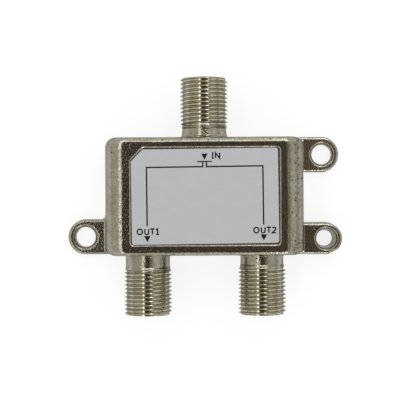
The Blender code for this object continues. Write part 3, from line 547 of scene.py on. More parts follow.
@dataclass(frozen=True)
class Casting:
    """The nickel-plated housing: drafted body with its hollow, three ears and three threaded ports."""

    width: float = 40.6 * MM
    height: float = 24.2 * MM
    depth: float = 15.0 * MM
    side_draft: float = math.radians(5.0)
    end_draft: float = math.radians(2.6)
    base_radius: float = 2.0 * MM
    front_radius: float = 0.6 * MM
    shoulder: float = 3.2 * MM
    lips: tuple[float, float] = (1.0 * MM, 0.7 * MM)
    wall: float = 1.4 * MM
    front_wall: float = 1.6 * MM
    hollow_radius: float = 1.2 * MM
    ceiling_radius: float = 1.4 * MM
    ledge: float = 0.7 * MM
    ledge_height: float = 0.93 * MM
    foot_round: float = 0.15 * MM
    side_border: float = 1.38 * MM
    end_border: float = 1.16 * MM
    recess: float = 0.3 * MM
    recess_cut: float = 2.45 * MM
    recess_radius: float = 0.6 * MM
    rim_round: float = 0.05 * MM
    rim_slant: float = 0.2 * MM
    rim_drop: float = 0.09 * MM
    recess_shift: float = 0.11 * MM
    corner_columns: int = 14
    side_columns: int = 34
    ear_round: float = 0.5 * MM
    ear_draft: float = math.radians(2.0)
    ear_root: float = 0.6 * MM
    root_reach: float = 1.6 * MM
    hole_radius: float = 2.0 * MM
    hole_soft: float = 0.12 * MM
    port_axis: float = 7.5 * MM
    port_spacing: float = 22.6 * MM
    collar: float = 0.12 * MM
    thread_radius: float = 4.7 * MM
    thread_depth: float = 0.47 * MM
    thread_pitch: float = INCH / 32
    lead_in: float = 0.42 * MM
    mouth_radius: float = 3.6 * MM
    mouth_depth: float = 3.5 * MM
    mouth_chamfer: float = 0.15 * MM
    bore_radius: float = 3.1 * MM
    port_columns: int = 96
    rows_per_turn: int = 12

    def ears(self) -> tuple[Ear, Ear, Ear]:
        """The left ear, the right ear and the thick earthing ear."""
        side = self.width / 2
        return (
            Ear(-1, side + 3.9 * MM, -8.1 * MM, 3.6 * MM, 3.55 * MM, 2.0 * MM, 0.8 * MM, self.hole_radius,
                0.55 * MM, (0.38 * MM, 0.22 * MM), 0.4),
            Ear(1, side + 3.55 * MM, 8.4 * MM, 3.6 * MM, 3.45 * MM, 2.0 * MM, 0.0, self.hole_radius, 0.5 * MM,
                (0.12 * MM, 0.3 * MM), 1.2),
            Ear(1, side + 4.1 * MM, -8.6 * MM, 3.3 * MM, 3.35 * MM, 5.0 * MM, 0.0, 1.6 * MM, 0.36 * MM,
                (0.2 * MM, 0.5 * MM), 0.0, 3.12 * MM, math.radians(-62.0)),
        )

    def ports(self) -> tuple[Port, Port, Port]:
        """The input port with its tapered neck, and the first and the second output port."""
        side = self.port_spacing / 2
        return (Port(0.0, 1, 4.33 * MM, 0.18 * MM, 0.25 * MM, 2.15 * MM),
                Port(-side, -1, 4.38 * MM, 0.0, 0.08 * MM, 2.75 * MM),
                Port(side, -1, 4.26 * MM, 0.0, 0.08 * MM, 2.3 * MM))

    @staticmethod
    def rounding(z: Points, top: float, radius: float) -> Points:
        """How far a round edge has come in at a height: r - sqrt(r^2 - rise^2) above its start."""
        rise = np.clip(z - (top - radius), 0, radius)
        return radius - np.sqrt(radius**2 - rise**2)

    def section(self, z: float) -> Outline:
        """The body's outside at a height, narrowed by its draft, its shoulders and its upper and lower lips."""
        upper, lower = (float(self.rounding(np.float64(z), self.depth, lip)) for lip in self.lips)
        shoulder = float(self.rounding(np.float64(z), self.depth, self.shoulder))
        half_width = self.width / 2 - z * math.tan(self.side_draft) - shoulder
        half_height = self.height / 2 - z * math.tan(self.end_draft) - (upper + lower) / 2
        radius = self.base_radius + (self.front_radius - self.base_radius) * (upper + lower) / sum(self.lips)
        return Outline(half_width, half_height, (radius,) * 4, middle=(0.0, (lower - upper) / 2))

    def recess_plan(self, grown: float = 0.0) -> Outline:
        """The label's recess with its cut-off corner, grown all round."""
        front = self.section(self.depth)
        radius = self.recess_radius + grown
        cut = self.recess_cut + grown * (2 - math.sqrt(2))
        return Outline(front.half_width - self.side_border + grown, front.half_height - self.end_border + grown,
                       (radius, cut, radius, radius), (0.0, 0.93, 0.0, 0.0), (self.recess_shift, 0.0))

    def hollow(self, z: float) -> Outline:
        """The hollow's plan at a height: the outside less the wall, rounded at the ceiling."""
        ceiling = self.depth - self.front_wall
        inset = self.wall + float(self.rounding(np.float64(z), ceiling, self.ceiling_radius))
        return Outline(self.width / 2 - z * math.tan(self.side_draft) - inset,
                       self.height / 2 - z * math.tan(self.end_draft) - inset, (self.hollow_radius,) * 4)

    def outside_levels(self) -> list[tuple[Outline, float]]:
        """Levels of the outside from the front's flat down to the foot, finer where an edge is round."""
        heights = np.concatenate([span(self.foot_round, self.depth - self.shoulder, 10)] + [
            self.depth - radius + radius * np.sin(span(0, math.pi / 2, steps))
            for radius, steps in ((self.shoulder, 26), (self.lips[0], 12), (self.lips[1], 12))])
        heights = np.unique(np.round(heights, 8))[::-1]
        return [(self.section(z), float(z)) for z in heights]

    def grown_section(self, z: float, grown: float) -> Outline:
        """The outside at a height, grown all round."""
        plan = self.section(z)
        return Outline(plan.half_width + grown, plan.half_height + grown,
                       tuple(r + grown for r in plan.radii), middle=plan.middle)

    def body(self) -> Patch:
        """The body as one closed loft.

        From the middle of the recess's floor it runs out and up its wall, over the slanted rim, across the
        front, down the outside, round the foot, up the cover's seat, over the ledge and up the hollow to its
        ceiling. Each round edge is radius * (1 - cos a) sideways and radius * (1 - sin a) in height.
        """
        floor = self.depth - self.recess
        soft = self.rim_round
        quarter = span(0, math.pi / 2, 5)
        levels = [(self.recess_plan(-2.0 * MM), floor), (self.recess_plan(-0.25 * MM), floor)]
        levels += [(self.recess_plan(-soft * (1 - math.sin(a))), floor + soft * (1 - math.cos(a)))
                   for a in quarter]
        rim = self.depth - self.rim_drop
        levels += [(self.recess_plan(0.0), rim - soft), (self.recess_plan(soft * 0.2), rim)]
        levels += [(self.recess_plan(self.rim_slant * t), rim + self.rim_drop * t) for t in (0.3, 0.65, 0.95)]
        levels += [(self.recess_plan(self.rim_slant + wide), self.depth)
                   for wide in (0.02 * MM, 0.06 * MM, 0.2 * MM)]
        levels += [(self.grown_section(self.depth, -0.12 * MM), self.depth)]
        levels += self.outside_levels()
        foot = self.foot_round
        levels += [(self.grown_section(0.0, -foot * (1 - math.cos(a))), foot * (1 - math.sin(a))) for a in quarter]
        mouth = self.hollow(0.0)
        seat = [Outline(mouth.half_width + self.ledge + foot * g, mouth.half_height + self.ledge + foot * g,
                        tuple(r + foot * g for r in mouth.radii)) for g in (1.0, 0.3, 0.0)]
        levels += list(zip(seat, (0.0, foot * 0.3, foot)))
        levels += [(seat[-1], self.ledge_height - 0.02 * MM), (seat[-1], self.ledge_height)]
        ceiling = self.depth - self.front_wall
        rise = ceiling - self.ceiling_radius + self.ceiling_radius * np.sin(span(0, math.pi / 2, 8))
        levels += [(self.hollow(z), float(z)) for z in (self.ledge_height, self.ledge_height + 0.05 * MM, *rise)]
        grid = loft(levels, self.corner_columns, self.side_columns)
        return Patch(grid + self.cast_waver(grid), traits=self.wear_and_painted_shade(grid))

    def wear_and_painted_shade(self, grid: Points) -> dict[str, Points]:
        """Most pits lie along the right shoulder, above all near its lower end. The right wall's tone is
        darkened as painted shade.

        The front's flat has no pits, but a livelier grain.
        """
        x, y, z = (grid[..., k] for k in range(3))
        side = self.width / 2
        along = ease(side - 4.2 * MM, 1.4 * MM, x) * (1 - 0.8 * ease(side - 1.3 * MM, 0.5 * MM, x))
        shoulder = along * ease(self.depth / 2, 2.0 * MM, z) * (1 + 1.5 * ease(8.6 * MM, 1.5 * MM, -y))
        # Painted shade: the right wall's tone is made darker, for the shaded floor that it mirrors.
        painted_shade = ease(side - 3.0 * MM, 0.8 * MM, x)
        front = ease(self.depth - 0.02 * MM, 0.015 * MM, z)
        return {"pitted": 10.0 * shoulder - front * (1 + 10.0 * shoulder), "polished": -0.4 * painted_shade,
                "smoothed": -0.2 * front}

    def cast_waver(self, grid: Points) -> Points:
        """Slow unevenness of a casting: sums of sines of the place, a few hundredths of a millimetre high."""
        x, y, z = (grid[..., k] / MM for k in range(3))
        side = np.sin(0.55 * y + 0.9) * np.sin(0.8 * z + 0.3) + 0.5 * np.sin(1.3 * y + 0.7 * z)
        end = np.sin(0.45 * x + 2.1) * np.sin(0.7 * z + 1.1) + 0.5 * np.sin(1.1 * x - 0.5 * z)
        front = np.sin(0.35 * x + 0.4 * y) + 0.6 * np.sin(0.6 * x - 0.5 * y + 1.0)
        near_front = ease(self.depth - 4 * MM, 4 * MM, grid[..., 2]) - ease(self.depth - 0.02 * MM, 0.02 * MM,
                                                                             grid[..., 2])
        inward = -0.012 * MM * (1 + side / 1.5), -0.012 * MM * (1 + end / 1.5), -0.01 * MM * (1 + front / 1.6)
        off_foot = ease(0.5 * MM, 1.5 * MM, grid[..., 2])
        return np.stack([np.sign(x) * inward[0] * off_foot, np.sign(y) * inward[1] * off_foot,
                         inward[2] * near_front], -1)

    def ear_plan(self, ear: Ear, inset: float) -> Points:
        """An ear's plan, drawn as if on the right.

        From its root inside the wall it runs along the lower edge, whose foot may flare, round the tip as
        (x + tip cos a, y + radius sin a), trimmed by a flat where it has one, and back along the upper edge.
        The root follows the wall round the body's corner, x = sqrt(r^2 - t^2), to close the wedge there.
        """
        wall = self.width / 2
        radius, tip = ear.radius - inset, ear.tip - inset
        down, up = 0.01 * MM, max(ear.flare_up - 1.5 * inset, 0.01 * MM)
        turn = span(-math.pi / 2, math.pi / 2, 48)
        end = np.stack([ear.x + tip * np.cos(turn), ear.y + radius * np.sin(turn)], -1)
        if ear.flat_distance:
            way = np.array([math.cos(ear.flat_angle), math.sin(ear.flat_angle)])
            beyond = (end - [ear.x, ear.y]) @ way - (ear.flat_distance - inset)
            end = end - np.clip(beyond, 0, None)[:, None] * way
        sweep = span(0, math.pi / 2, 8)
        back = sweep[::-1]
        low = np.stack([wall + down - down * np.sin(back), ear.y - radius - down + down * np.cos(back)], -1)
        high = np.stack([wall + up - up * np.sin(sweep), ear.y + radius + up - up * np.cos(sweep)], -1)
        along = span(0, 1, 13)[1:-1, None]
        lower = low[-1] + (end[0] - low[-1]) * along
        upper = end[-1] + (high[0] - end[-1]) * along
        y = np.linspace(high[-1, 1], low[0, 1], 21)
        inside = self.base_radius - self.ear_root
        bend = np.clip(np.abs(y) - (self.height / 2 - self.base_radius), 0, inside)
        root = wall - self.base_radius + np.sqrt(inside**2 - bend**2)
        inner = np.stack([np.maximum(root, wall - self.root_reach), y], -1)
        return np.concatenate([low, lower, end, upper, high, inner])

    def ear(self, ear: Ear) -> Patch:
        """An ear as one closed ring round its hole.

        Columns go round the outline and rows go from the hole's back edge up its wall, over the soft
        chamfer, across the top, over the round edge and down the side.
        """
        steps = span(0, math.pi / 2, 9)
        outer = [(self.ear_round * (1 - math.cos(a)), ear.thickness - self.ear_round * (1 - math.sin(a)))
                 for a in steps[::-1]]
        outer += [(0.0, ear.thickness / 2), (0.0, 0.1 * MM), (0.05 * MM, 0.03 * MM), (0.12 * MM, 0.0)]
        plans = np.stack([self.ear_plan(ear, inset + z * math.tan(self.ear_draft)) for inset, z in outer])
        heights = np.array([z for _, z in outer])
        away = plans[0] - [ear.x, ear.y]
        heading = np.arctan2(away[:, 1], away[:, 0])
        circle = np.stack([np.cos(heading), np.sin(heading)], -1)
        wide = self.hole_radius + ear.chamfer
        top = ear.thickness
        soft = self.hole_soft
        hole = [(ear.hole_back + 0.05 * MM, 0.0), (ear.hole_back, 0.06 * MM)]
        hole += [(ear.hole_back + (self.hole_radius - ear.hole_back) * s, (top - ear.chamfer) * s)
                 for s in (0.3, 0.6, 0.9)]
        hole += [(self.hole_radius + 0.01 * MM, top - ear.chamfer - soft),
                 (self.hole_radius + 0.06 * MM, top - ear.chamfer),
                 (self.hole_radius + ear.chamfer * 0.35, top - ear.chamfer * 0.6),
                 (wide - 0.16 * MM, top - 0.13 * MM), (wide - 0.05 * MM, top - 0.04 * MM),
                 (wide + 0.06 * MM, top - 0.004 * MM), (wide + 0.14 * MM, top)]
        bore = np.stack([np.array([ear.x, ear.y]) + radius * circle for radius, _ in hole])
        levels = np.array([z for _, z in hole])
        share = span(0, 1, 25)[1:-1, None, None]
        face = bore[-1] + (plans[0] - bore[-1]) * share
        rows = np.concatenate([bore, face, plans])
        z = np.concatenate([levels, np.full(len(share), top), heights])[:, None] + 0 * rows[..., 0]
        flat = np.zeros((len(rows), 1))
        flat[len(bore):len(bore) + len(share)] = 1.0
        # The flat top is painted lighter by the ear's painted sheen and gets a livelier grain.
        return Patch(np.stack([rows[..., 0] * ear.side, rows[..., 1], z], -1), ring=True,
                     traits={"polished": ear.painted_sheen * flat, "smoothed": -0.25 * flat})

    def root(self, ear: Ear) -> Patch:
        """The fillet between an ear's top and the wall, as a bar along the root.

        Its face is a hollow quarter ellipse, reach * (1 - sin a) sideways and height * (1 - cos a) up. Both
        fade as sqrt(1 - u^6) towards the ends.
        """
        low, high = ear.y - ear.radius + 0.5 * MM, ear.y + ear.radius - 0.5 * MM + ear.flare_up
        u = np.sin(span(-math.pi / 2, math.pi / 2, 33))[:, None]
        reach, height = (size * np.sqrt(np.clip(1 - u**6, 0.002, 1)) for size in ear.fillet)
        a = span(0, math.pi / 2, 9)
        out = np.concatenate([reach * (1 - np.sin(a)), np.zeros_like(reach) - [[0.3 * MM, 0.3 * MM]], reach], -1)
        up = np.concatenate([height * (1 - np.cos(a)), height, np.zeros_like(u) - [[0.1 * MM, 0.1 * MM]]], -1)
        x = self.width / 2 - (ear.thickness + up) * math.tan(self.side_draft) + out
        y = (low + high) / 2 + (high - low) / 2 * u + 0 * x
        return Patch(np.stack([ear.side * x, y, ear.thickness + up], -1))

    def wall_at_port(self) -> float:
        """Distance of the upper and lower walls from the middle at the ports' height."""
        return self.height / 2 - self.port_axis * math.tan(self.end_draft)

    def port(self, port: Port, mouth: float) -> Patch:
        """A threaded port as one closed ring round its bore.

        The outside runs from inside the wall, over the base flare and along the plain neck. There the thread
        starts, right-handed: radius = root + depth * ridge(s / pitch + a / turn), where s is the distance along
        the port and a the angle round it. The ridge is a smooth step of a triangle wave that starts at a third of
        its rise, which leaves its root wide and its crest narrow. It fades into the neck over a low collar, and
        a cone cuts it at the mouth. The rows lean by less than their distance, so that they lie on the helix. The
        bore leads inside.

        Args:
            port: The port's place and neck.
            mouth: Distance of its mouth from the middle of the housing.
        """
        wall = self.wall_at_port()
        neck, flare, foot = port.radius, port.flare, port.radius + port.taper
        sweep = span(0, math.pi / 2, 6)
        base = [(foot + flare + 0.2 * MM, wall - self.wall * 0.6), (foot + flare + 0.2 * MM, wall - 0.02 * MM)]
        base += [(foot + flare - flare * math.sin(a), wall + flare - flare * math.cos(a)) for a in sweep]
        rise = self.thread_pitch / self.rows_per_turn
        start = math.ceil((wall + port.length) / rise - 0.4 * self.rows_per_turn) * rise
        begin = start - 6 * rise
        base += [(foot - port.taper * t, wall + flare + (begin - wall - flare) * t) for t in span(0, 1, 7)[1:-1]]
        along = np.arange(begin, mouth - 0.06 * MM - rise / 2, rise)
        inner = self.mouth_radius
        chamfer = self.mouth_chamfer
        back = mouth - self.mouth_depth
        root = self.thread_radius - self.thread_depth
        rim = self.thread_radius - self.lead_in - 0.03 * MM
        mouth_rows = [(rim - 0.02 * MM, mouth - 0.02 * MM), (rim - 0.07 * MM, mouth), (inner + chamfer, mouth),
                      (inner + chamfer * 0.3, mouth - chamfer * 0.3), (inner, mouth - chamfer),
                      (inner, mouth - 1.0 * MM), (inner, back), (inner - 0.02 * MM, back),
                      (self.bore_radius, back), (self.bore_radius, back - 0.1 * MM),
                      (self.bore_radius, wall - self.wall * 0.6)]
        profile = np.concatenate([np.array(base), np.stack([0 * along, along], -1), np.array(mouth_rows)])
        grid = lathe(profile, self.port_columns)
        angle = math.tau * np.arange(self.port_columns) / self.port_columns
        s = along[:, None] + rise * (np.mod(0.5 - port.way * angle / math.tau * self.rows_per_turn, 1.0) - 0.5)
        phase = np.mod(s / self.thread_pitch + port.way * angle / math.tau, 1.0)
        ridge = ease(0.36, 0.64, 1 - np.abs(2 * phase - 1))
        fade = ease(start, 0.9 * self.thread_pitch, s)
        collar = self.collar * ease(start - 0.4 * MM, 0.5 * MM, s) * (1 - ease(start + 0.15 * MM, 0.2 * MM, s))
        cone = self.thread_radius - self.lead_in + (mouth - s) * 1.1
        radius = np.minimum(neck + (root - neck) * fade + self.thread_depth * ridge * fade + collar, cone)
        rows = slice(len(base), len(base) + len(along))
        grid[rows] = np.stack([radius * np.cos(angle), radius * np.sin(angle), s], -1)
        out = np.stack([port.x + grid[..., 0], port.way * grid[..., 2], self.port_axis + grid[..., 1]], -1)
        cut = np.zeros(grid.shape[:2])
        cut[rows] = fade
        return Patch(out, ring=True,
                     traits={"smoothed": 0.1 + 0.88 * cut, "polished": 1.4 * cut, "pitted": 0 * cut - 0.8})

    def build(self, finish: bpy.types.Material) -> None:
        """Makes the casting from the housing's box and dresses it."""
        low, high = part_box("housing")
        patches = [self.body(), *(make(ear) for ear in self.ears() for make in (self.ear, self.root)),
                   *(self.port(port, high.y if port.way > 0 else -low.y) for port in self.ports())]
        settle(build_piece("cast_housing", patches), finish, "nickel_plate", "housing")


# The label


@dataclass(frozen=True)
class Lettering:
    """Printed marks, drawn as strokes round the middle of their foot."""

    height: float = 1.06 * MM
    width: float = 0.275 * MM
    round_steps: int = 20

    def arc(self, centre: tuple[float, float], radii: tuple[float, float], start: float, end: float) -> Points:
        """Points centre + (rx cos a, ry sin a) for the angles from start to end, in quarter turns."""
        angle = span(start, end, self.round_steps) * math.pi / 2
        return np.stack([centre[0] + radii[0] * np.cos(angle), centre[1] + radii[1] * np.sin(angle)], -1)

    def letter(self, sign: str) -> list[tuple[Points, bool]]:
        """A sign's strokes, as paths and whether each one closes on itself."""
        top = self.height
        half = top / 2
        side, quarter = 0.36 * MM, 0.37 * MM
        lines = {
            "I": [[(0, 0), (0, top)], [(-0.15 * MM, top), (0.15 * MM, top)], [(-0.15 * MM, 0), (0.15 * MM, 0)]],
            "N": [[(-0.39 * MM, 0), (-0.39 * MM, top), (0.39 * MM, 0), (0.39 * MM, top)]],
            "T": [[(-0.42 * MM, top), (0.42 * MM, top)], [(0, 0), (0, top)]],
            "1": [[(-0.34 * MM, top - 0.2 * MM), (0, top), (0, 0)], [(-0.3 * MM, 0), (0.3 * MM, 0)]],
        }
        if sign in lines:
            return [(np.array(line), False) for line in lines[sign]]
        if sign == "O":
            return [(self.arc((0, half), (0.49 * MM, half), 0, 4)[:-1], True)]
        if sign == "U":
            bowl = self.arc((0, quarter), (side, quarter), -2, 0)
            return [(np.concatenate([[(-side, top)], bowl, [(side, top)]]), False)]
        hook = self.arc((0, top - 0.31 * MM), (0.31 * MM, 0.31 * MM), 1.8, -0.35)
        return [(np.concatenate([hook, [(-0.34 * MM, 0), (0.38 * MM, 0)]]), False)]


@dataclass(frozen=True)
class FrontLabel:
    """The grey film in the recess, glued a little askew, with its printed diagram."""

    gap: float = 0.25 * MM
    radius: float = 0.5 * MM
    edge: float = 0.03 * MM
    turn: float = math.radians(0.5)
    shift: float = -0.06 * MM
    ink: float = 0.004 * MM
    line: float = 0.285 * MM
    thin_line: float = 0.23 * MM
    print_shift: float = 0.12 * MM
    bracket_side: float = 11.19 * MM
    bracket_top: float = 5.68 * MM
    bracket_bottom: float = -5.6 * MM
    stem_side: float = 0.35 * MM
    bar_height: float = 6.68 * MM
    bar_side: float = 1.44 * MM
    arrow_width: float = 1.3 * MM
    arrow_height: float = 1.2 * MM
    in_arrow_y: float = 8.2 * MM
    out_arrow_y: float = -7.48 * MM
    in_foot: float = 7.25 * MM
    out_foot: float = -7.2 * MM
    in_signs: tuple[tuple[str, float], ...] = (("I", 1.58 * MM), ("N", 2.52 * MM))
    out_signs: tuple[tuple[str, float], ...] = (("O", -1.42 * MM), ("U", -0.1 * MM), ("T", 0.98 * MM))
    number_place: float = 1.98 * MM

    def place(self, patch: Patch) -> Patch:
        """Turns and shifts a patch as the label lies in its recess."""
        c, s = math.cos(self.turn), math.sin(self.turn)
        x, y, z = (patch.points[..., k] for k in range(3))
        return Patch(np.stack([self.shift + c * x - s * y, s * x + c * y, z], -1), patch.ring)

    def film(self, recess: Outline) -> Patch:
        """The film: its outline lofted from its back over a softly rounded edge to its face.

        Args:
            recess: Plan of the recess that it lies in.
        """
        low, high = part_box("front_label")
        slant = recess.radii[1] - self.gap * (2 - math.sqrt(2))

        def plan(inset: float) -> Outline:
            return Outline(recess.half_width - self.gap - inset, recess.half_height - self.gap - inset,
                           (self.radius, slant, self.radius, self.radius), recess.flatness, recess.middle)

        levels = [(plan(1.0 * MM), low.z), (plan(self.edge), low.z), (plan(0.0), low.z + self.edge),
                  (plan(0.0), high.z - self.edge), (plan(self.edge * 0.4), high.z - self.edge * 0.3),
                  (plan(self.edge), high.z), (plan(self.edge * 4), high.z), (plan(1.0 * MM), high.z)]
        return Patch(loft(levels, 10, 16))

    def plate(self, plan: Points, low: float) -> Patch:
        """A thin plate of ink over a convex plan."""
        ends = [np.concatenate([plan, np.full((len(plan), 1), z)], -1) for z in (low, low + self.ink)]
        return Patch(np.stack(ends))

    def stroke(self, points: Points, width: float, low: float, closed: bool = False) -> Patch:
        """A printed line: a flat rectangle carried along a path, mitred where the path turns.

        At each point the edge is offset by width / 2 along the mean of the two normals, over the cosine of
        half the turn.

        Args:
            points: The path.
            width: Width of the line.
            low: Height that it is printed on.
            closed: True where the path's end joins its start.
        """
        ahead = np.roll(points, -1, 0) - points if closed else np.diff(points, axis=0)
        way = ahead / np.linalg.norm(ahead, axis=1)[:, None]
        normal = np.stack([-way[:, 1], way[:, 0]], -1)
        if closed:
            mean = (normal + np.roll(normal, 1, 0)) / 2
        else:
            mean = np.concatenate([normal[:1], (normal[:-1] + normal[1:]) / 2, normal[-1:]])
        mitre = mean / (mean**2).sum(1)[:, None] * width / 2
        left, right = points + mitre, points - mitre
        rows = np.stack([left, right, right, left], 1)
        z = np.broadcast_to((low + self.ink * np.array([1, 1, 0, 0]))[None, :, None], rows.shape[:2] + (1,))
        grid = np.concatenate([rows, z], -1)
        return Patch(np.swapaxes(grid, 0, 1), ring=True) if closed else Patch(grid)

    def diagram(self, low: float) -> list[Patch]:
        """The branching lines from the input's bar to both outputs, and an arrow at each port."""
        side, stem, middle = self.bracket_side, self.stem_side, self.print_shift
        bar_low = self.bar_height - self.thin_line / 2
        bar = np.array([(middle - self.bar_side, self.bar_height), (middle + self.bar_side, self.bar_height)])
        made = [self.stroke(bar, self.thin_line, low)]
        for way in (-1, 1):
            path = [(middle + way * side, self.bracket_bottom), (middle + way * side, self.bracket_top),
                    (middle + way * stem, self.bracket_top), (middle + way * stem, bar_low)]
            made.append(self.stroke(np.array(path), self.line, low))
        half = self.arrow_width / 2
        places = [(middle, self.in_arrow_y)] + [(middle + way * side, self.out_arrow_y) for way in (-1, 1)]
        for x, y in places:
            made.append(self.plate(np.array([(x - half, y), (x, y - self.arrow_height), (x + half, y)]), low))
        return made

    def marks(self, low: float) -> list[Patch]:
        """The ports' marks, stroke by stroke: IN by the upper arrow, OUT and a number over the lower ones."""
        letters = Lettering()
        side, middle = self.bracket_side, self.print_shift
        signs = [(sign, middle + x, self.in_foot) for sign, x in self.in_signs]
        for way, number in ((-1, "1"), (1, "2")):
            row = (*self.out_signs, (number, self.number_place))
            signs += [(sign, middle + way * side + x, self.out_foot) for sign, x in row]
        return [self.stroke(path + [x, y], letters.width, low, closed)
                for sign, x, y in signs for path, closed in letters.letter(sign)]

    def build(self, recess: Outline, paper: bpy.types.Material, ink: bpy.types.Material) -> None:
        """Makes the film and, in one piece, all that is printed on it."""
        settle(build_piece("label_sheet", [self.place(self.film(recess))]), paper, "label_film", "front_label")
        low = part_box("front_label")[1].z
        printed = [self.place(patch) for patch in (*self.diagram(low), *self.marks(low))]
        settle(build_piece("label_print", printed), ink, "label_film")


# The back and the ports' inserts


@dataclass(frozen=True)
class BackCover:
    """The pressed steel sheet in the back, with a field embossed towards the inside."""

    border: float = 2.6 * MM
    slope: float = 0.6 * MM
    rise: float = 0.3 * MM
    edge: float = 0.15 * MM
    radius: float = 1.2 * MM

    def build(self, finish: bpy.types.Material) -> None:
        """Lofts the sheet from its outer field over its rounded edge to its inner field.

        The step from border to field follows a smooth curve, t * t * (3 - 2 t) of the rise.
        """
        low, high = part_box("back_cover")
        thick = high.z - low.z - self.rise

        def level(inset: float, z: float) -> tuple[Outline, float]:
            return Outline(high.x - inset, high.y - inset, (self.radius,) * 4), z

        shares = span(0, 1, 8)
        climb = list(zip(self.border + self.slope * shares, self.rise * ease(0, 1, shares)))
        steps = span(0, math.pi / 2, 5)
        around = [(self.edge * (1 - math.cos(a)), self.edge * (1 - math.sin(a))) for a in steps]
        levels = [level(self.border + self.slope + 1.5 * MM, low.z + self.rise)]
        levels += [level(inset, low.z + z) for inset, z in climb[::-1]]
        levels += [level(self.edge * 2, low.z)]
        levels += [level(inset, low.z + z) for inset, z in around[::-1]]
        levels += [level(inset, low.z + thick - z) for inset, z in around]
        levels += [level(self.edge * 2, low.z + thick)]
        levels += [level(inset, low.z + thick + z) for inset, z in climb]
        levels += [level(self.border + self.slope + 1.5 * MM, low.z + thick + self.rise)]
        sheet = Patch(loft(levels, 8, 16))
        settle(build_piece("pressed_back_cover", [sheet]), finish, "tinned_steel", "back_cover")


@dataclass(frozen=True)
class PortInsert:
    """The plastic plug in a port's mouth, round the contact."""

    name: str
    x: float
    way: int
    axis: float = 7.5 * MM
    edge: float = 0.2 * MM
    shoulder: float = 3.0 * MM
    narrow: float = 3.06 * MM
    groove_radius: float = 2.5 * MM
    groove: float = 0.25 * MM
    funnel: float = 1.5 * MM
    entry: float = 0.8 * MM
    entry_length: float = 1.5 * MM
    pocket: float = 1.55 * MM

    def build(self, finish: bpy.types.Material) -> None:
        """Turns the plug's profile, from its tail outside to its face and back through its bore."""
        low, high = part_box(f"{self.name}_insulator")
        face, tail = (high.y, low.y) if self.way > 0 else (-low.y, -high.y)
        wide = (high.x - low.x) / 2
        step = face - self.shoulder
        soft = self.edge
        turn = span(0, math.pi / 2, 6)
        corner = [(wide - soft + soft * math.cos(a), face - soft + soft * math.sin(a)) for a in turn]
        dip = span(0, math.pi, 10)
        ring = [(self.groove_radius + self.groove * math.cos(a), face - self.groove * math.sin(a)) for a in dip]
        cone = [(self.funnel + 0.05 * MM, face), (self.funnel - 0.05 * MM, face - 0.06 * MM),
                (self.entry + 0.04 * MM, face - (self.funnel - self.entry)),
                (self.entry, face - (self.funnel - self.entry) - 0.08 * MM),
                (self.entry, face - self.entry_length), (self.pocket, face - self.entry_length), (self.pocket, tail)]
        start = [(self.narrow, tail), (self.narrow, step - 0.05 * MM), (self.narrow, step), (wide, step),
                 (wide, step + 0.1 * MM)]
        grid = lathe(np.array(start + corner + ring + cone), 72)
        placed = np.stack([self.x + grid[..., 0], self.way * grid[..., 2], self.axis + grid[..., 1]], -1)
        piece = build_piece(f"{self.name}_port_plug", [Patch(placed, ring=True)])
        settle(piece, finish, "insulator_plastic", f"{self.name}_insulator")


@dataclass(frozen=True)
class Inside:
    """The pieces that the casting hides, which keep their solids and get their finishes."""

    finishes: dict[str, Slot] = field(default_factory=lambda: {
        "contact": Slot.CONTACT, "solder": Slot.SOLDER, "board": Slot.BOARD, "core": Slot.FERRITE,
        "winding": Slot.WIRE, "diode": Slot.DIODE, "resistor": Slot.RESISTOR, "capacitor": Slot.CAPACITOR,
    })

    def build(self, palette: dict[Slot, bpy.types.Material]) -> None:
        """Gives each hidden node the finish that the last word of its name asks for."""
        for name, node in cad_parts.items():
            slot = self.finishes.get(name.split("_")[-1])
            if slot:
                node.data.materials.clear()
                node.data.materials.append(palette[slot])
                log.info("%s keeps its solid, in %s", name, slot.value.name)


# The studio


@dataclass(frozen=True)
class Softbox:
    """A lamp, aimed at the splitter: its direction by angle from straight up, its size and its level."""

    name: str
    sideways: float
    upwards: float
    width: float
    length: float
    level: float
    distance: float = 0.5
    colour: Colour = (1.0, 1.0, 1.0)

    def build(self) -> None:
        """Places an area lamp. Its power is level * pi * area, so that its face shines at that level."""
        lamp = bpy.data.lights.new(self.name, "AREA")
        lamp.shape = "RECTANGLE"
        lamp.size, lamp.size_y = self.width, self.length
        lamp.energy = self.level * math.pi * self.width * self.length
        lamp.color = self.colour
        across, along = math.tan(math.radians(self.sideways)), math.tan(math.radians(self.upwards))
        way = np.array([across, along, 1.0])
        way = way / np.linalg.norm(way)
        holder = bpy.data.objects.new(self.name, lamp)
        holder.location = way * self.distance
        turn = Matrix.Rotation(math.atan2(way[0], way[2]), 4, "Y") @ Matrix.Rotation(-math.asin(way[1]), 4, "X")
        holder.matrix_world = Matrix.Translation(holder.location) @ turn
        bpy.context.scene.collection.objects.link(holder)


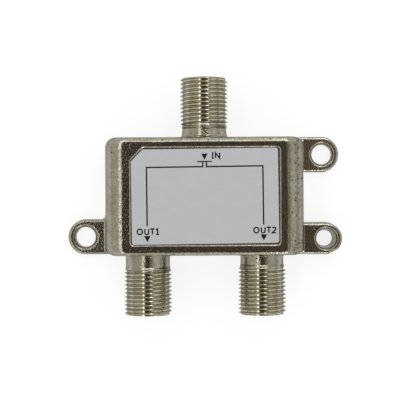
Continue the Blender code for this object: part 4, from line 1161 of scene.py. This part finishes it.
@dataclass(frozen=True)
class Studio:
    """A pale floor, a pale room with a dark gap overhead, softboxes, and the camera above."""

    image_width: int = 400
    focal_pixels: float = 1172.0
    camera_height: float = 240.0 * MM
    camera_x: float = -0.91 * MM
    camera_y: float = -0.72 * MM
    roll: float = math.radians(0.33)
    floor_size: float = 6.0
    floor_gap: float = 0.02 * MM
    room_level: float = 0.8
    bands: tuple[tuple[float, Colour], ...] = (
        (-180.0, (0.75, 0.75, 0.72)), (-95.0, (0.6, 0.58, 0.5)), (-75.0, (0.55, 0.53, 0.44)),
        (-55.0, (0.64, 0.61, 0.51)), (-35.0, (0.62, 0.59, 0.49)), (-20.0, (0.6, 0.57, 0.48)),
        (-15.0, (0.056, 0.05, 0.047)), (2.0, (0.062, 0.046, 0.034)), (12.0, (0.15, 0.12, 0.085)),
        (36.0, (0.62, 0.60, 0.52)),
        (50.0, (0.74, 0.73, 0.65)), (83.0, (0.45, 0.44, 0.38)), (180.0, (0.6, 0.6, 0.56)),
    )
    side_level: Colour = (0.72, 0.71, 0.66)
    reach: tuple[float, float] = (26.0, 34.0)
    reach_fade: float = 5.0

    def camera(self) -> None:
        """The camera looks straight down. Its lens gives the focal length in pixels of the image."""
        lens = bpy.data.cameras.new("overhead")
        lens.sensor_width = 36.0
        lens.lens = self.focal_pixels / self.image_width * lens.sensor_width
        lens.clip_start, lens.clip_end = 0.01, 20.0
        holder = bpy.data.objects.new("overhead", lens)
        holder.location = (self.camera_x, self.camera_y, self.camera_height)
        holder.rotation_euler = (0.0, 0.0, -self.roll)
        bpy.context.scene.collection.objects.link(holder)
        bpy.context.scene.camera = holder

    def world(self) -> None:
        """The room: white to the camera, plain to matt surfaces, and in reflections bands of the real room.

        The bands go by the sideways angle from straight up, atan2(x, z), with a dark gap right overhead.
        They fade to one level where the angle towards the ports, asin of y, passes their reach, which is
        longer towards the outputs.
        """
        room = bpy.data.worlds.new("room")
        room.use_nodes = True
        room.node_tree.nodes.clear()
        graph = Graph(room.node_tree)
        way = graph.add("ShaderNodeTexCoord").outputs["Generated"]
        parts = graph.add("ShaderNodeSeparateXYZ", {"Vector": way}).outputs
        turn = graph.math("MULTIPLY_ADD", graph.math("ARCTAN2", parts[0], parts[2]), 1 / math.tau, 0.5)
        scale = graph.add("ShaderNodeValToRGB", {"Fac": turn})
        stops = scale.color_ramp.elements
        while len(stops) < len(self.bands):
            stops.new(1.0)
        for stop, (angle, colour) in zip(stops, self.bands):
            stop.position = angle / 360 + 0.5
            stop.color = (*colour, 1.0)
        lean = graph.math("MULTIPLY", graph.math("ARCSINE", parts[1]), 180 / math.pi)
        back = graph.math("MULTIPLY", lean, -1.0)
        sides = [graph.ramp(towards, reach - self.reach_fade, reach + self.reach_fade)
                 for towards, reach in zip((lean, back), self.reach)]
        beyond = graph.math("MAXIMUM", *sides)
        shown = graph.mix(beyond, scale.outputs["Color"], self.side_level)
        path = graph.add("ShaderNodeLightPath").outputs
        mirrored = graph.math("MAXIMUM", path["Is Glossy Ray"], path["Is Transmission Ray"])
        colour = graph.mix(mirrored, (self.room_level,) * 3, shown)
        colour = graph.mix(path["Is Camera Ray"], colour, (1.0, 1.0, 1.0))
        light = graph.add("ShaderNodeBackground", {"Color": colour})
        leave = graph.add("ShaderNodeOutputWorld")
        graph.tree.links.new(light.outputs[0], leave.inputs[0])
        bpy.context.scene.world = room

    def floor(self) -> None:
        """A pale floor that keeps a soft shadow, a little darker in reflections, and clear from below."""
        half = self.floor_size / 2
        mesh = bpy.data.meshes.new("floor")
        corners = [(-half, -half, 0), (half, -half, 0), (half, half, 0), (-half, half, 0)]
        mesh.from_pydata(corners, [], [(0, 1, 2, 3)])
        mesh.transform(Matrix.Translation((0, 0, -self.floor_gap)))
        made = bpy.data.materials.new("pale_floor")
        made.use_nodes = True
        made.node_tree.nodes.clear()
        graph = Graph(made.node_tree)
        matt = graph.add("ShaderNodeBsdfDiffuse", {"Color": (0.2, 0.2, 0.2, 1.0)})
        path = graph.add("ShaderNodeLightPath").outputs
        strength = graph.math("MULTIPLY_ADD", path["Is Camera Ray"], 0.27, 0.55)
        glow = graph.add("ShaderNodeEmission", {"Color": (1.0, 1.0, 1.0, 1.0), "Strength": strength})
        both = graph.add("ShaderNodeAddShader", {0: matt.outputs[0], 1: glow.outputs[0]})
        seen = graph.math("MAXIMUM", path["Is Camera Ray"],
                          graph.math("MAXIMUM", path["Is Glossy Ray"], path["Is Transmission Ray"]))
        plain = graph.add("ShaderNodeBsdfDiffuse", {"Color": (0.8, 0.8, 0.8, 1.0)})
        lit = graph.add("ShaderNodeMixShader", {0: seen, 1: plain.outputs[0], 2: both.outputs[0]})
        clear = graph.add("ShaderNodeBsdfTransparent")
        below = graph.add("ShaderNodeNewGeometry").outputs["Backfacing"]
        whole = graph.add("ShaderNodeMixShader", {0: below, 1: lit.outputs[0], 2: clear.outputs[0]})
        leave = graph.add("ShaderNodeOutputMaterial")
        graph.tree.links.new(whole.outputs[0], leave.inputs[0])
        mesh.materials.append(made)
        ground = bpy.data.objects.new("floor", mesh)
        bpy.context.scene.collection.objects.link(ground)

    def build(self) -> None:
        """Sets the stage, lights it and places the camera."""
        self.floor()
        self.world()
        lamps = (
            Softbox("left_softbox", -23.5, 0.0, 0.08, 0.8, 1.4, colour=(1.0, 0.985, 0.95)),
            Softbox("upper_right_lamp", 22.0, 50.0, 0.08, 0.3, 3.2, colour=(0.92, 0.96, 1.0)),
            Softbox("lower_right_lamp", 22.0, -50.0, 0.08, 0.3, 3.2, colour=(0.92, 0.96, 1.0)),
            Softbox("upper_softbox", 0.0, 33.0, 0.5, 0.15, 0.95),
        )
        for lamp in lamps:
            lamp.build()
        self.camera()
        bpy.context.scene.view_settings.view_transform = "Standard"


def printing_ink() -> bpy.types.Material:
    """Black print, a little uneven and duller than the film under it."""
    finish = Finish("printing_ink", (0.006, 0.006, 0.007), (0.011, 0.011, 0.013), 0.5, 0.1, 0.0,
                    6000.0, 0.3, 0.001 * MM)
    ink = finish.build(Effects())
    ink.node_tree.nodes["Principled BSDF"].inputs["Specular IOR Level"].default_value = 0.15
    return ink


def main() -> None:
    """Builds the splitter and the studio."""
    logging.basicConfig(level=logging.INFO, format="%(name)s: %(message)s")
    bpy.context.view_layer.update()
    effects = Effects()
    palette = {slot: slot.value.build(effects) for slot in Slot}
    casting = Casting()
    casting.build(palette[Slot.CASTING])
    FrontLabel().build(casting.recess_plan(), palette[Slot.LABEL], printing_ink())
    BackCover().build(palette[Slot.COVER])
    half = casting.port_spacing / 2
    for insert in (PortInsert("in", 0.0, 1), PortInsert("out1", -half, -1), PortInsert("out2", half, -1)):
        insert.build(palette[Slot.INSULATOR])
    Inside().build(palette)
    Studio().build()


if __name__ == "__main__":
    main()
